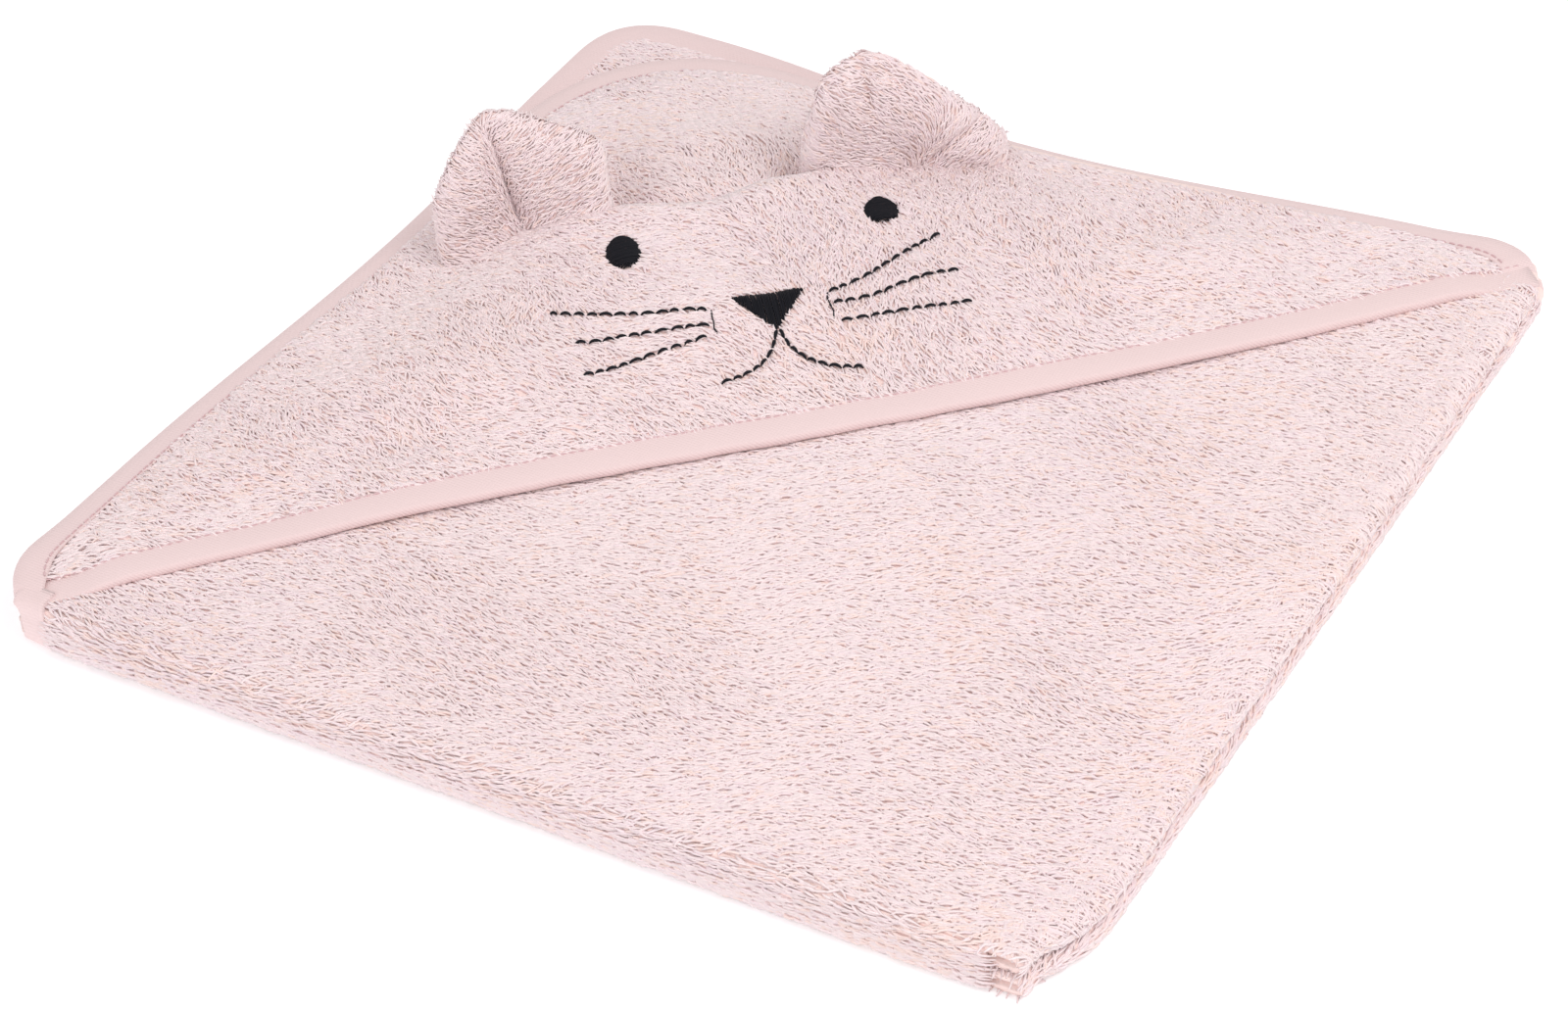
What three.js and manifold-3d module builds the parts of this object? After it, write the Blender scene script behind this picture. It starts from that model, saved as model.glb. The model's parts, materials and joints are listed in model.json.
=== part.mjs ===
// Hooded baby towel, folded in four into a square that lies flat with its hood uppermost.
//
// Millimetres, +Z up. The origin is on the resting plane under the middle of the square.
// +X runs along the free edge of the hood, +Y runs from the front corner to the hood's apex.
//
// The towel is folded twice. The first fold runs along the front right side and pairs the
// layers two by two. The second fold runs along the front left side and lays one pair on
// the other, so the upper pair opens about it like the cover of a book. The two back sides
// are the towel's bound edges, and the hood is sewn to the top layer along them.

import * as THREE from "three";
import { mergeVertices } from "three/addons/utils/BufferGeometryUtils.js";
import Module from "manifold-3d";

const wasm = await Module();
wasm.setup();

// ---------------------------------------------------------------- driving dimensions

// The towel and its folds.
const TOWEL_SIDE = 750;
const TERRY = 4.0; // one layer, pile included, under the weight of the stack
const LAYER_GAP = 0.4;
const FRONT_CORNER_RADIUS = 30;
const LOWER_CORNER_LEG = 37; // length of each side that the rounded corner takes up
const UPPER_CORNER_LEG = 88;
const UPPER_LEAN_IN = 10; // the puffed hood pulls the upper pair's corner in by this much
const TIP_DRAW_IN = 14; // the bound edges are drawn in where they meet a fold
const TIP_LENGTH = 55;

// The binding tape, folded over the thinned edge of the terry.
const BINDING_WIDTH = 12;
const BINDING_WALL = 0.6;
const TONGUE = 2.0; // thickness of a terry edge pressed inside the tape
const TONGUE_MARGIN = 1.6; // from the tape's outer crease to the end of the tongue
const FIT = 0.3; // running clearance between pieces that touch
const TAPE_RAMP = 20; // the tape thickens over this length to take the hood's edge in
const STEP_MARGIN = 0.8; // from the tape's inner edge to the hood's full thickness
const STEP_LENGTH = 0.7;
const LEDGE = 1.2; // the top layer's full thickness stays this far inside the hood's

// The hood.
const HOOD_SETBACK = 42; // from the square's corners to the ends of the hood
const HOOD_BINDING_OVERHANG = 4; // the tape runs this far past the hood's ends
const HOOD_EDGE_Y = -11.5;
const HOOD_EDGE_WAVE = 4.5;
const HOOD_EDGE_WAVE_SHIFT = 20;
const HOOD_EDGE_WAVE_LENGTH = 520;
const LIP_RISE = 6; // room under the middle of the free edge
const CREST_RISE = 13; // room under the brow
const REAR_RISE = 3;
const BROW_Y = 104; // the brow is the ridge between the ears
const BROW_BOW = 18;
const BROW_HALF_WIDTH = 45;
const BROW_FALL = 32;
const HOOD_MESH_PITCH = 14.2;
const SEWN_FLAT = 15; // the hood lies flat this far in from the bound edges
const PUFF_LENGTH = 75;

// The ears, each of two layers of terry sewn together round the edge.
const EAR_WIDTH = 56;
const EAR_HEIGHT = 47;
const EAR_LAYER = 3.0;
const EAR_CUP = 14; // the sides stand this far in front of the middle
const EARS = [
  { name: "ear_left", x: -64, y: 124, yaw: -2 },
  { name: "ear_right", x: 66, y: 117, yaw: -6 },
];

// The embroidered face, in its own axes about the middle of the muzzle.
const FACE_X = 3;
const FACE_Y = 45;
const FACE_TILT = -3; // degrees
const EYE_SPACING = 88;
const EYE_Y = 40;
const EYE_WIDTH = 11.5;
const EYE_SHIFT = 3;
const NOSE_WIDTH = 24;
const NOSE_LENGTH = 15.4;
const NOSE_TOP_Y = 4;
const MOUTH_HALF_WIDTH = 23;
const WHISKER_ROOT_X = 20.8;
const WHISKER_TIP_X = 64.5;
const FACE_SIDES = {
  left: {
    sign: -1,
    eyeLength: 16.5,
    mouthDrop: 17,
    whiskerRootY: [-0.7, -6.1, -10.6],
    whiskerTipY: [14.3, -1.1, -16.9],
  },
  right: {
    sign: 1,
    eyeLength: 13,
    mouthDrop: 20,
    whiskerRootY: [0.8, -4.8, -11.7],
    whiskerTipY: [22.5, 2.4, -15.6],
  },
};
const LINE_WIDTH = 1.4;
const LINE_HEIGHT = 0.8;
const PAD_HEIGHT = 1.0;
const JOIN_WIDTH = 0.7;
const JOIN_HEIGHT = 0.5;

// The sewing thread on the tapes.
const STITCH_WIDTH = 0.6;
const STITCH_HEIGHT = 0.4;
const STITCH_INSET = 10.5; // from the tape's outer crease

// ---------------------------------------------------------------- worked out from them

const QUARTER = TOWEL_SIDE / 2;
const PITCH = TERRY + LAYER_GAP;
const BEND_IN = LAYER_GAP / 2; // inner radius of a fold with nothing in it
const BEND_OUT = BEND_IN + TERRY;
const WRAP_IN = PITCH + BEND_IN; // the fold that goes round the outside of that one
const WRAP_OUT = PITCH + BEND_OUT;
const HINGE_Z = WRAP_OUT; // the second fold turns about the middle of the stack
const LOWER_PAIR_Z = BEND_OUT; // middle of each pair of layers
const UPPER_PAIR_Z = 2 * WRAP_OUT - BEND_OUT;
const PAIR_START = WRAP_OUT + FIT; // where the flat layers begin, beside the second fold
const STACK_TOP = 2 * WRAP_OUT;
const HALF_DIAGONAL = QUARTER / Math.SQRT2;
const HOOD_HALF_LENGTH = HALF_DIAGONAL - HOOD_SETBACK;
const MID_BEND = (BEND_IN + BEND_OUT) / 2;
const MID_WRAP = (WRAP_IN + WRAP_OUT) / 2;
const SLOT_HALF = TONGUE / 2 + FIT; // half the room inside the tape
const TAPE_HALF = SLOT_HALF + BINDING_WALL;
const HOOD_TONGUE_LOW = UPPER_PAIR_Z + MID_BEND + TONGUE / 2 + FIT;
const HOOD_SEAT = STACK_TOP + LAYER_GAP;
const HOOD_SLOT_EXTRA = TONGUE + FIT; // the tape on the top layer holds the hood's edge too
const SEAT_GAP = 0.35; // embroidery and ears sit this far off the terry

// Edges of the flat areas, counted in from a pair's outer edge.
const STEP_IN = BINDING_WIDTH + STEP_MARGIN;
const HOOD_FULL_IN = STEP_IN + STEP_LENGTH;
const TOP_FULL_IN = HOOD_FULL_IN + LEDGE;

const smooth = (t) => THREE.MathUtils.smoothstep(t, 0, 1);
const UP = new THREE.Vector3(0, 0, 1);

// ---------------------------------------------------------------- materials

const cloth = (color, roughness) =>
  new THREE.MeshStandardMaterial({ color, roughness, metalness: 0 });
const TERRY_PINK = cloth(0xf6dcd7, 0.95);
const TAPE_PINK = cloth(0xf3d6d3, 0.6);
const THREAD_BLACK = cloth(0x17171b, 0.55);
const THREAD_PINK = cloth(0xeecdc9, 0.6);

// ---------------------------------------------------------------- building solids

const named = (name, geometry, material) => {
  const mesh = new THREE.Mesh(geometry, material.clone());
  mesh.name = name;
  return mesh;
};

function geometryFrom(points, faces) {
  const geometry = new THREE.BufferGeometry();
  geometry.setFromPoints(points);
  geometry.setIndex(faces.flat());
  return geometry;
}

// A section swept through stations. Each station has an origin, the directions of the
// section's two coordinates, and its own section, counter-clockwise about the way on.
function sweep(stations) {
  const points = [];
  const faces = [];
  const count = stations[0].section.length;
  for (const { origin, across, over, section } of stations) {
    for (const [p, q] of section) {
      points.push(origin.clone().addScaledVector(across, p).addScaledVector(over, q));
    }
  }
  for (let i = 0; i + 1 < stations.length; i++) {
    for (let j = 0; j < count; j++) {
      const here = i * count + j;
      const beside = i * count + ((j + 1) % count);
      faces.push([here, beside, beside + count], [here, beside + count, here + count]);
    }
  }
  const contour = stations[0].section.map(([p, q]) => new THREE.Vector2(p, q));
  const last = points.length - count;
  for (const [a, b, c] of THREE.ShapeUtils.triangulateShape(contour, [])) {
    faces.push([c, b, a], [last + a, last + b, last + c]);
  }
  return geometryFrom(points, faces);
}

// A closed sheet between two grids of points. The outer grid is on the side that the
// columns' direction crossed with the rows' direction points to.
function sheet(columns, rows, inner, outer) {
  const points = [];
  const faces = [];
  const size = (columns + 1) * (rows + 1);
  const at = (i, j) => j * (columns + 1) + i;
  for (const grid of [inner, outer]) {
    for (let j = 0; j <= rows; j++) {
      for (let i = 0; i <= columns; i++) points.push(grid(i, j));
    }
  }
  const quad = (a, b, c, d) => faces.push([a, b, c], [a, c, d]);
  for (let j = 0; j < rows; j++) {
    for (let i = 0; i < columns; i++) {
      quad(at(i, j), at(i, j + 1), at(i + 1, j + 1), at(i + 1, j));
      quad(size + at(i, j), size + at(i + 1, j), size + at(i + 1, j + 1), size + at(i, j + 1));
    }
  }
  for (let i = 0; i < columns; i++) {
    quad(at(i, 0), at(i + 1, 0), size + at(i + 1, 0), size + at(i, 0));
    quad(at(i + 1, rows), at(i, rows), size + at(i, rows), size + at(i + 1, rows));
  }
  for (let j = 0; j < rows; j++) {
    quad(at(0, j + 1), at(0, j), size + at(0, j), size + at(0, j + 1));
    quad(at(columns, j), at(columns, j + 1), size + at(columns, j + 1), size + at(columns, j));
  }
  return geometryFrom(points, faces);
}

function solidOf(geometry) {
  const bare = geometry.clone();
  for (const name of Object.keys(bare.attributes)) {
    if (name !== "position") bare.deleteAttribute(name);
  }
  const merged = mergeVertices(bare, 1e-4);
  const made = new wasm.Mesh({
    numProp: 3,
    vertProperties: merged.attributes.position.array,
    triVerts: new Uint32Array(merged.index.array),
  });
  return new wasm.Manifold(made);
}

function geometryOf(solid) {
  const mesh = solid.getMesh();
  const geometry = new THREE.BufferGeometry();
  geometry.setAttribute("position", new THREE.BufferAttribute(mesh.vertProperties, 3));
  geometry.setIndex(new THREE.BufferAttribute(mesh.triVerts, 1));
  return geometry;
}

// ---------------------------------------------------------------- the towel's outline

// These shapes are drawn in the square's own axes: a runs from the front corner along the
// first fold, b runs from the front corner along the second.

// How far out a bound side lies at a distance t along it from the fold that it starts at.
const reach = (t, side, leanIn) =>
  side - TIP_DRAW_IN * (1 - smooth((t - PAIR_START) / TIP_LENGTH)) - (leanIn * t) / side;

// The direction out of the towel at each point of a bound edge.
function outwardAt(edge, k) {
  const before = edge[Math.max(k - 1, 0)];
  const after = edge[Math.min(k + 1, edge.length - 1)];
  const along = after.clone().sub(before).normalize();
  return new THREE.Vector3(-along.y, along.x, 0);
}

// The bound edge of a pair of layers, from the second fold round the corner to the first,
// or a line that runs inside it at a given distance.
function boundEdge({ side, leanIn, leg }, inset = 0) {
  const TIP_STEPS = 6;
  const CORNER_STEPS = 10;
  const along = [];
  for (let k = 0; k <= TIP_STEPS; k++) along.push(PAIR_START + (TIP_LENGTH * k) / TIP_STEPS);
  const corner = side - leanIn;
  const turn = corner - leg;
  const first = along.map((t) => new THREE.Vector2(t, reach(t, side, leanIn)));
  const bend = new THREE.QuadraticBezierCurve(
    new THREE.Vector2(turn, reach(turn, side, leanIn)),
    new THREE.Vector2(corner, corner),
    new THREE.Vector2(reach(turn, side, leanIn), turn),
  ).getPoints(CORNER_STEPS);
  const last = first.map((p) => new THREE.Vector2(p.y, p.x)).reverse();
  const edge = [...first, ...bend, ...last];
  return edge.map((point, k) => {
    const outward = outwardAt(edge, k);
    return new THREE.Vector2(point.x - inset * outward.x, point.y - inset * outward.y);
  });
}

const LOWER = { side: QUARTER, leanIn: 0, leg: LOWER_CORNER_LEG };
const UPPER = { side: QUARTER, leanIn: UPPER_LEAN_IN, leg: UPPER_CORNER_LEG };

// An upright block over the whole square, with the given bound edge.
function footprint(pair, inset) {
  const edge = boundEdge(pair, inset);
  const radius = FRONT_CORNER_RADIUS;
  const shape = new THREE.Shape();
  shape.absarc(radius, radius, radius, Math.PI, 1.5 * Math.PI, false);
  shape.lineTo(edge.at(-1).x, 0);
  for (const point of edge.toReversed()) shape.lineTo(point.x, point.y);
  shape.lineTo(0, edge[0].y);
  shape.closePath();
  const block = new THREE.ExtrudeGeometry(shape, {
    depth: STACK_TOP + 2,
    bevelEnabled: false,
    curveSegments: 8,
  });
  block.translate(0, 0, -1);
  return solidOf(block);
}

// The section of a folded layer: two flat runs joined by a half turn, or the turn alone.
function foldSection(radiusIn, radiusOut, centre, middleZ, run) {
  const STEPS = 10;
  const turn = (radius) => {
    const arc = [];
    for (let k = 0; k <= STEPS; k++) {
      const angle = (Math.PI * k) / STEPS;
      arc.push([centre - radius * Math.sin(angle), middleZ + radius * Math.cos(angle)]);
    }
    return arc;
  };
  const outside = turn(radiusOut);
  const inside = turn(radiusIn).reverse();
  if (run > 0) {
    outside.unshift([centre + run, middleZ + radiusOut]);
    outside.push([centre + run, middleZ - radiusOut]);
    inside.unshift([centre + run, middleZ - radiusIn]);
    inside.push([centre + run, middleZ + radiusIn]);
  }
  return [...outside, ...inside];
}

// ---------------------------------------------------------------- layers and folds

// Two layers joined along the first fold, thinned to a tongue where the tape holds them.
function pairOfLayers(pair, middleZ, fullIn) {
  const layer = (thickness, inset) => {
    const half = thickness / 2;
    const section = foldSection(MID_BEND - half, MID_BEND + half, BEND_OUT, middleZ, QUARTER);
    const stations = [PAIR_START, QUARTER].map((a) => ({
      origin: new THREE.Vector3(a, 0, 0),
      across: new THREE.Vector3(0, 1, 0),
      over: UP,
      section,
    }));
    return solidOf(sweep(stations)).intersect(footprint(pair, inset));
  };
  return geometryOf(layer(TERRY, fullIn).add(layer(TONGUE, TONGUE_MARGIN)));
}

// One turn of the second fold, which bends as the towel opens.
function secondFold(radius) {
  const tip = reach(0, QUARTER, 0);
  const turn = (thickness, end) => {
    const half = thickness / 2;
    const section = foldSection(radius - half, radius + half, WRAP_OUT, HINGE_Z, 0);
    const stations = [end, 0].map((b) => ({
      origin: new THREE.Vector3(0, b, 0),
      across: new THREE.Vector3(1, 0, 0),
      over: UP,
      section,
    }));
    return solidOf(sweep(stations));
  };
  const whole = turn(TERRY, tip - TOP_FULL_IN).add(turn(TONGUE, tip - TONGUE_MARGIN));
  return geometryOf(whole.intersect(footprint(LOWER, 0)));
}

// ---------------------------------------------------------------- binding tape

// The tape's section: p runs out to its crease at 0, q is counted from the terry's middle.
function tapeSection(slotBelow, slotAbove) {
  const inner = -BINDING_WIDTH;
  return [
    [inner, -slotBelow - BINDING_WALL],
    [0, -slotBelow - BINDING_WALL],
    [0, slotAbove + BINDING_WALL],
    [inner, slotAbove + BINDING_WALL],
    [inner, slotAbove],
    [-BINDING_WALL, slotAbove],
    [-BINDING_WALL, -slotBelow],
    [inner, -slotBelow],
  ];
}

const lineSection = (width, height, inset = 0) => [
  [-inset - width / 2, 0],
  [-inset + width / 2, 0],
  [-inset + width / 2, height],
  [-inset - width / 2, height],
];

// The room that the tape leaves over the top layer, which grows where the hood begins.
const hoodRoom = (t) => HOOD_SLOT_EXTRA * smooth((t - PAIR_START) / TAPE_RAMP);

// The tape on one pair of layers: along the lower one, round the first fold and back.
function pairTape(pair, middleZ, hooded) {
  const TURN_STEPS = 8;
  const edge = boundEdge(pair);
  const plain = tapeSection(SLOT_HALF, SLOT_HALF);
  const stations = edge.map((point, k) => ({
    origin: new THREE.Vector3(point.x, point.y, middleZ - MID_BEND),
    across: outwardAt(edge, k),
    over: UP,
    section: plain,
  }));
  const tip = edge.at(-1);
  for (let k = 0; k <= TURN_STEPS; k++) {
    const angle = (Math.PI * k) / TURN_STEPS;
    const inward = new THREE.Vector3(0, Math.sin(angle), Math.cos(angle));
    stations.push({
      origin: new THREE.Vector3(tip.x, BEND_OUT, middleZ).addScaledVector(inward, -MID_BEND),
      across: new THREE.Vector3(1, 0, 0),
      over: inward,
      section: plain,
    });
  }
  for (let k = edge.length - 1; k >= 0; k--) {
    const extra = hooded ? hoodRoom(Math.min(edge[k].x, edge[k].y)) : 0;
    stations.push({
      origin: new THREE.Vector3(edge[k].x, edge[k].y, middleZ + MID_BEND),
      across: outwardAt(edge, k),
      over: UP.clone().negate(),
      section: tapeSection(SLOT_HALF + extra, SLOT_HALF),
    });
  }
  return sweep(stations);
}

// The tape round one turn of the second fold.
function foldTape(radius) {
  const STEPS = 10;
  const tip = reach(0, QUARTER, 0);
  const stations = [];
  for (let k = 0; k <= STEPS; k++) {
    const angle = (Math.PI * k) / STEPS;
    const inward = new THREE.Vector3(Math.sin(angle), 0, -Math.cos(angle));
    stations.push({
      origin: new THREE.Vector3(WRAP_OUT, tip, HINGE_Z).addScaledVector(inward, -radius),
      across: new THREE.Vector3(0, 1, 0),
      over: inward,
      section: tapeSection(SLOT_HALF, SLOT_HALF),
    });
  }
  return sweep(stations);
}

// The line of stitches that holds the tape down over the hood's edge.
function perimeterStitching() {
  const edge = boundEdge(UPPER);
  const z = UPPER_PAIR_Z + MID_BEND + TAPE_HALF + FIT;
  const stations = edge.map((point, k) => ({
    origin: new THREE.Vector3(point.x, point.y, z + hoodRoom(Math.min(point.x, point.y))),
    across: outwardAt(edge, k),
    over: UP,
    section: lineSection(STITCH_WIDTH, STITCH_HEIGHT, STITCH_INSET),
  }));
  return sweep(stations);
}

// ---------------------------------------------------------------- the hood

const toPlan = ({ x: a, y: b }) =>
  new THREE.Vector2((a - b) / Math.SQRT2, -HALF_DIAGONAL + (a + b) / Math.SQRT2);

// Where a line parallel to the upper pair's bound edge lies at a given x.
function backLine(inset) {
  const line = boundEdge(UPPER, inset).map(toPlan);
  return (x) => {
    const k = line.findIndex((point, n) => n > 0 && point.x >= x);
    const [from, to] = [line[k - 1], line[k]];
    return THREE.MathUtils.mapLinear(x, from.x, to.x, from.y, to.y);
  };
}

const frontLine = (x) =>
  HOOD_EDGE_Y
  - HOOD_EDGE_WAVE
    * Math.sin((2 * Math.PI * (x + HOOD_EDGE_WAVE_SHIFT)) / HOOD_EDGE_WAVE_LENGTH);

// The hood's underside: flat along the sewn sides, raised to a brow between the ears.
function hoodUnder(x, y) {
  const fromEdge = (HALF_DIAGONAL - UPPER_LEAN_IN - Math.abs(x) - y) / Math.SQRT2;
  const puff = smooth((fromEdge - SEWN_FLAT) / PUFF_LENGTH);
  const brow = BROW_Y + BROW_BOW * smooth(Math.abs(x) / BROW_HALF_WIDTH);
  const rise = y < brow
    ? THREE.MathUtils.lerp(LIP_RISE, CREST_RISE, smooth((y - HOOD_EDGE_Y) / (brow - HOOD_EDGE_Y)))
    : THREE.MathUtils.lerp(CREST_RISE, REAR_RISE, smooth((y - brow) / BROW_FALL));
  return HOOD_SEAT + puff * rise;
}

const hoodTop = (x, y) => hoodUnder(x, y) + TERRY;

// How many steps cover the hood from one end to the other, at the pitch of its mesh.
const stepsAcross = (half) => 2 * Math.ceil(half / HOOD_MESH_PITCH);

function hoodPanel() {
  const columns = stepsAcross(HOOD_HALF_LENGTH);
  const BODY_ROWS = 13;
  const end = backLine(TONGUE_MARGIN);
  const step = backLine(STEP_IN);
  const full = backLine(HOOD_FULL_IN);
  const rows = BODY_ROWS + 4;
  const pressed = (TERRY - TONGUE) / 2;
  const point = (i, j, upper) => {
    const x = THREE.MathUtils.lerp(-HOOD_HALF_LENGTH, HOOD_HALF_LENGTH, i / columns);
    const bodyStart = frontLine(x) + HOOD_FULL_IN;
    if (j < 2) {
      const y = frontLine(x) + (j === 0 ? TONGUE_MARGIN : STEP_IN);
      const z = hoodUnder(x, y) + (upper ? TERRY - pressed : pressed);
      return new THREE.Vector3(x, y, z);
    }
    if (j > rows - 2) {
      const y = j === rows ? end(x) : step(x);
      return new THREE.Vector3(x, y, HOOD_TONGUE_LOW + (upper ? TONGUE : 0));
    }
    const y = THREE.MathUtils.lerp(bodyStart, full(x), (j - 2) / BODY_ROWS);
    return new THREE.Vector3(x, y, upper ? hoodTop(x, y) : hoodUnder(x, y));
  };
  return sheet(columns, rows, (i, j) => point(i, j, false), (i, j) => point(i, j, true));
}

// A section swept along the hood's free edge, level with the middle of its tongue.
function freeEdge(section, rise = 0) {
  const half = HOOD_HALF_LENGTH + HOOD_BINDING_OVERHANG;
  const steps = stepsAcross(half);
  const middle = (x, inset) => {
    const y = frontLine(x) + inset;
    return new THREE.Vector3(x, y, hoodUnder(x, y) + TERRY / 2);
  };
  const stations = [];
  for (let k = 0; k <= steps; k++) {
    const x = THREE.MathUtils.lerp(half, -half, k / steps);
    const along = middle(x - 1, 0).sub(middle(x, 0)).normalize();
    const across = middle(x, 0).sub(middle(x, STEP_IN)).normalize();
    const over = along.cross(across).normalize();
    stations.push({ origin: middle(x, 0).addScaledVector(over, rise), across, over, section });
  }
  return sweep(stations);
}

// ---------------------------------------------------------------- the ears

// The half width of an ear at a share v of its height: full at the base, round at the tip.
const earHalfWidth = (v) => (EAR_WIDTH / 2) * Math.max(Math.sqrt(1 - v ** 2.6), 0.22);

// One of the ear's two layers, standing on the hood. The front one has lift 1.
function earLayer(ear, lift) {
  const COLUMNS = 12;
  const ROWS = 7;
  const yaw = THREE.MathUtils.degToRad(ear.yaw);
  const point = (i, j, outer) => {
    const u = (2 * i) / COLUMNS - 1;
    const v = j / ROWS;
    const cup = EAR_CUP * u * u * (1 - v / 2);
    const forward = cup + lift * (EAR_LAYER + FIT) + (outer ? EAR_LAYER : 0);
    const place = (s, back) => new THREE.Vector2(s, back).rotateAround(new THREE.Vector2(), yaw);
    const foot = place(u * EAR_WIDTH / 2, -forward).add(ear);
    const spot = place(u * earHalfWidth(v), -forward).add(ear);
    const footZ = hoodTop(foot.x, foot.y) + SEAT_GAP;
    const tipZ = hoodTop(ear.x, ear.y) + EAR_HEIGHT;
    return new THREE.Vector3(spot.x, spot.y, THREE.MathUtils.lerp(footZ, tipZ, v));
  };
  return sheet(COLUMNS, ROWS, (i, j) => point(i, j, false), (i, j) => point(i, j, true));
}

// ---------------------------------------------------------------- the embroidery

const FACE_CENTRE = new THREE.Vector2(FACE_X, FACE_Y);

// A point of the face's drawing, in plan.
const onFace = (x, y) =>
  new THREE.Vector2(x, y)
    .rotateAround(new THREE.Vector2(), THREE.MathUtils.degToRad(FACE_TILT))
    .add(FACE_CENTRE);

const onHood = (spot, rise) => new THREE.Vector3(spot.x, spot.y, hoodTop(spot.x, spot.y) + rise);

// A filled area of satin stitch.
function pad(outline) {
  const points = [];
  const faces = [];
  const count = outline.length;
  for (const rise of [SEAT_GAP, SEAT_GAP + PAD_HEIGHT]) {
    points.push(...outline.map((spot) => onHood(spot, rise)));
  }
  for (let k = 0; k < count; k++) {
    const next = (k + 1) % count;
    faces.push([k, next, count + next], [k, count + next, count + k]);
  }
  for (const [a, b, c] of THREE.ShapeUtils.triangulateShape(outline, [])) {
    faces.push([c, b, a], [count + a, count + b, count + c]);
  }
  return geometryFrom(points, faces);
}

// A line of stitches through points of the drawing.
function line(spots, width, height) {
  const stations = spots.map((spot, k) => {
    const before = spots[Math.max(k - 1, 0)];
    const after = spots[Math.min(k + 1, spots.length - 1)];
    const along = after.clone().sub(before).normalize();
    return {
      origin: onHood(spot, SEAT_GAP),
      across: new THREE.Vector3(-along.y, along.x, 0),
      over: UP,
      section: lineSection(width, height),
    };
  });
  return sweep(stations);
}

function eye({ sign, eyeLength }) {
  const STEPS = 20;
  const outline = [];
  for (let k = 0; k < STEPS; k++) {
    const angle = (2 * Math.PI * k) / STEPS;
    const x = EYE_SHIFT + (sign * EYE_SPACING) / 2 + (EYE_WIDTH / 2) * Math.cos(angle);
    outline.push(onFace(x, EYE_Y + (eyeLength / 2) * Math.sin(angle)));
  }
  return pad(outline);
}

function nose() {
  const outline = [
    onFace(0, NOSE_TOP_Y - NOSE_LENGTH),
    onFace(NOSE_WIDTH / 2, NOSE_TOP_Y),
    onFace(0, NOSE_TOP_Y - 1),
    onFace(-NOSE_WIDTH / 2, NOSE_TOP_Y),
  ];
  return pad(outline);
}

// Half of the mouth: a quarter of an oval, from under the nose down and out to the side.
function mouth({ sign, mouthDrop }) {
  const STEPS = 8;
  const START = 0.12; // the two halves stay this share of a quarter turn apart at the top
  const top = NOSE_TOP_Y - NOSE_LENGTH - 2;
  const spots = [];
  for (let k = 0; k <= STEPS; k++) {
    const angle = (Math.PI / 2) * THREE.MathUtils.lerp(START, 1, k / STEPS);
    const x = sign * MOUTH_HALF_WIDTH * (1 - Math.cos(angle)) + sign * LINE_WIDTH;
    spots.push(onFace(x, top - mouthDrop * Math.sin(angle)));
  }
  return line(spots, LINE_WIDTH, LINE_HEIGHT);
}

function whisker({ sign, whiskerRootY, whiskerTipY }, row) {
  const STEPS = 6;
  const spots = [];
  for (let k = 0; k <= STEPS; k++) {
    const x = THREE.MathUtils.lerp(WHISKER_ROOT_X, WHISKER_TIP_X, k / STEPS);
    const y = THREE.MathUtils.lerp(whiskerRootY[row], whiskerTipY[row], k / STEPS);
    spots.push(onFace(sign * x, y));
  }
  return line(spots, LINE_WIDTH, LINE_HEIGHT);
}

// The thread that carries on from one whisker's root to the next.
function whiskerJoin({ sign, whiskerRootY }) {
  const x = sign * (WHISKER_ROOT_X - LINE_WIDTH / 2 - JOIN_WIDTH / 2 - FIT);
  const spots = whiskerRootY.map((y) => onFace(x, y));
  return line(spots, JOIN_WIDTH, JOIN_HEIGHT);
}

// ---------------------------------------------------------------- assembly

const towel = new THREE.Group();

const square = new THREE.Group();
square.position.set(0, -HALF_DIAGONAL, 0);
square.rotation.z = Math.PI / 4;
towel.add(square);

square.add(
  named("towel_lower_pair", pairOfLayers(LOWER, LOWER_PAIR_Z, STEP_IN), TERRY_PINK),
  named("towel_upper_pair", pairOfLayers(UPPER, UPPER_PAIR_Z, TOP_FULL_IN), TERRY_PINK),
  named("fold_outer_turn", secondFold(MID_WRAP), TERRY_PINK),
  named("fold_inner_turn", secondFold(MID_BEND), TERRY_PINK),
  named("binding_lower_pair", pairTape(LOWER, LOWER_PAIR_Z, false), TAPE_PINK),
  named("binding_upper_pair", pairTape(UPPER, UPPER_PAIR_Z, true), TAPE_PINK),
  named("binding_outer_turn", foldTape(MID_WRAP), TAPE_PINK),
  named("binding_inner_turn", foldTape(MID_BEND), TAPE_PINK),
  named("stitching_perimeter", perimeterStitching(), THREAD_PINK),
);

towel.add(
  named("hood_panel", hoodPanel(), TERRY_PINK),
  named("hood_binding", freeEdge(tapeSection(SLOT_HALF, SLOT_HALF)), TAPE_PINK),
  named(
    "stitching_hood_edge",
    freeEdge(lineSection(STITCH_WIDTH, STITCH_HEIGHT, STITCH_INSET), TAPE_HALF + FIT),
    THREAD_PINK,
  ),
);

for (const ear of EARS) {
  towel.add(
    named(`${ear.name}_back`, earLayer(ear, 0), TERRY_PINK),
    named(`${ear.name}_front`, earLayer(ear, 1), TERRY_PINK),
  );
}

towel.add(named("nose", nose(), THREAD_BLACK));
for (const [side, drawing] of Object.entries(FACE_SIDES)) {
  towel.add(named(`eye_${side}`, eye(drawing), THREAD_BLACK));
  towel.add(named(`mouth_${side}`, mouth(drawing), THREAD_BLACK));
  towel.add(named(`whisker_join_${side}`, whiskerJoin(drawing), THREAD_BLACK));
  for (const row of drawing.whiskerRootY.keys()) {
    towel.add(named(`whisker_${side}_${row + 1}`, whisker(drawing, row), THREAD_BLACK));
  }
}

export default towel;
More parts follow.
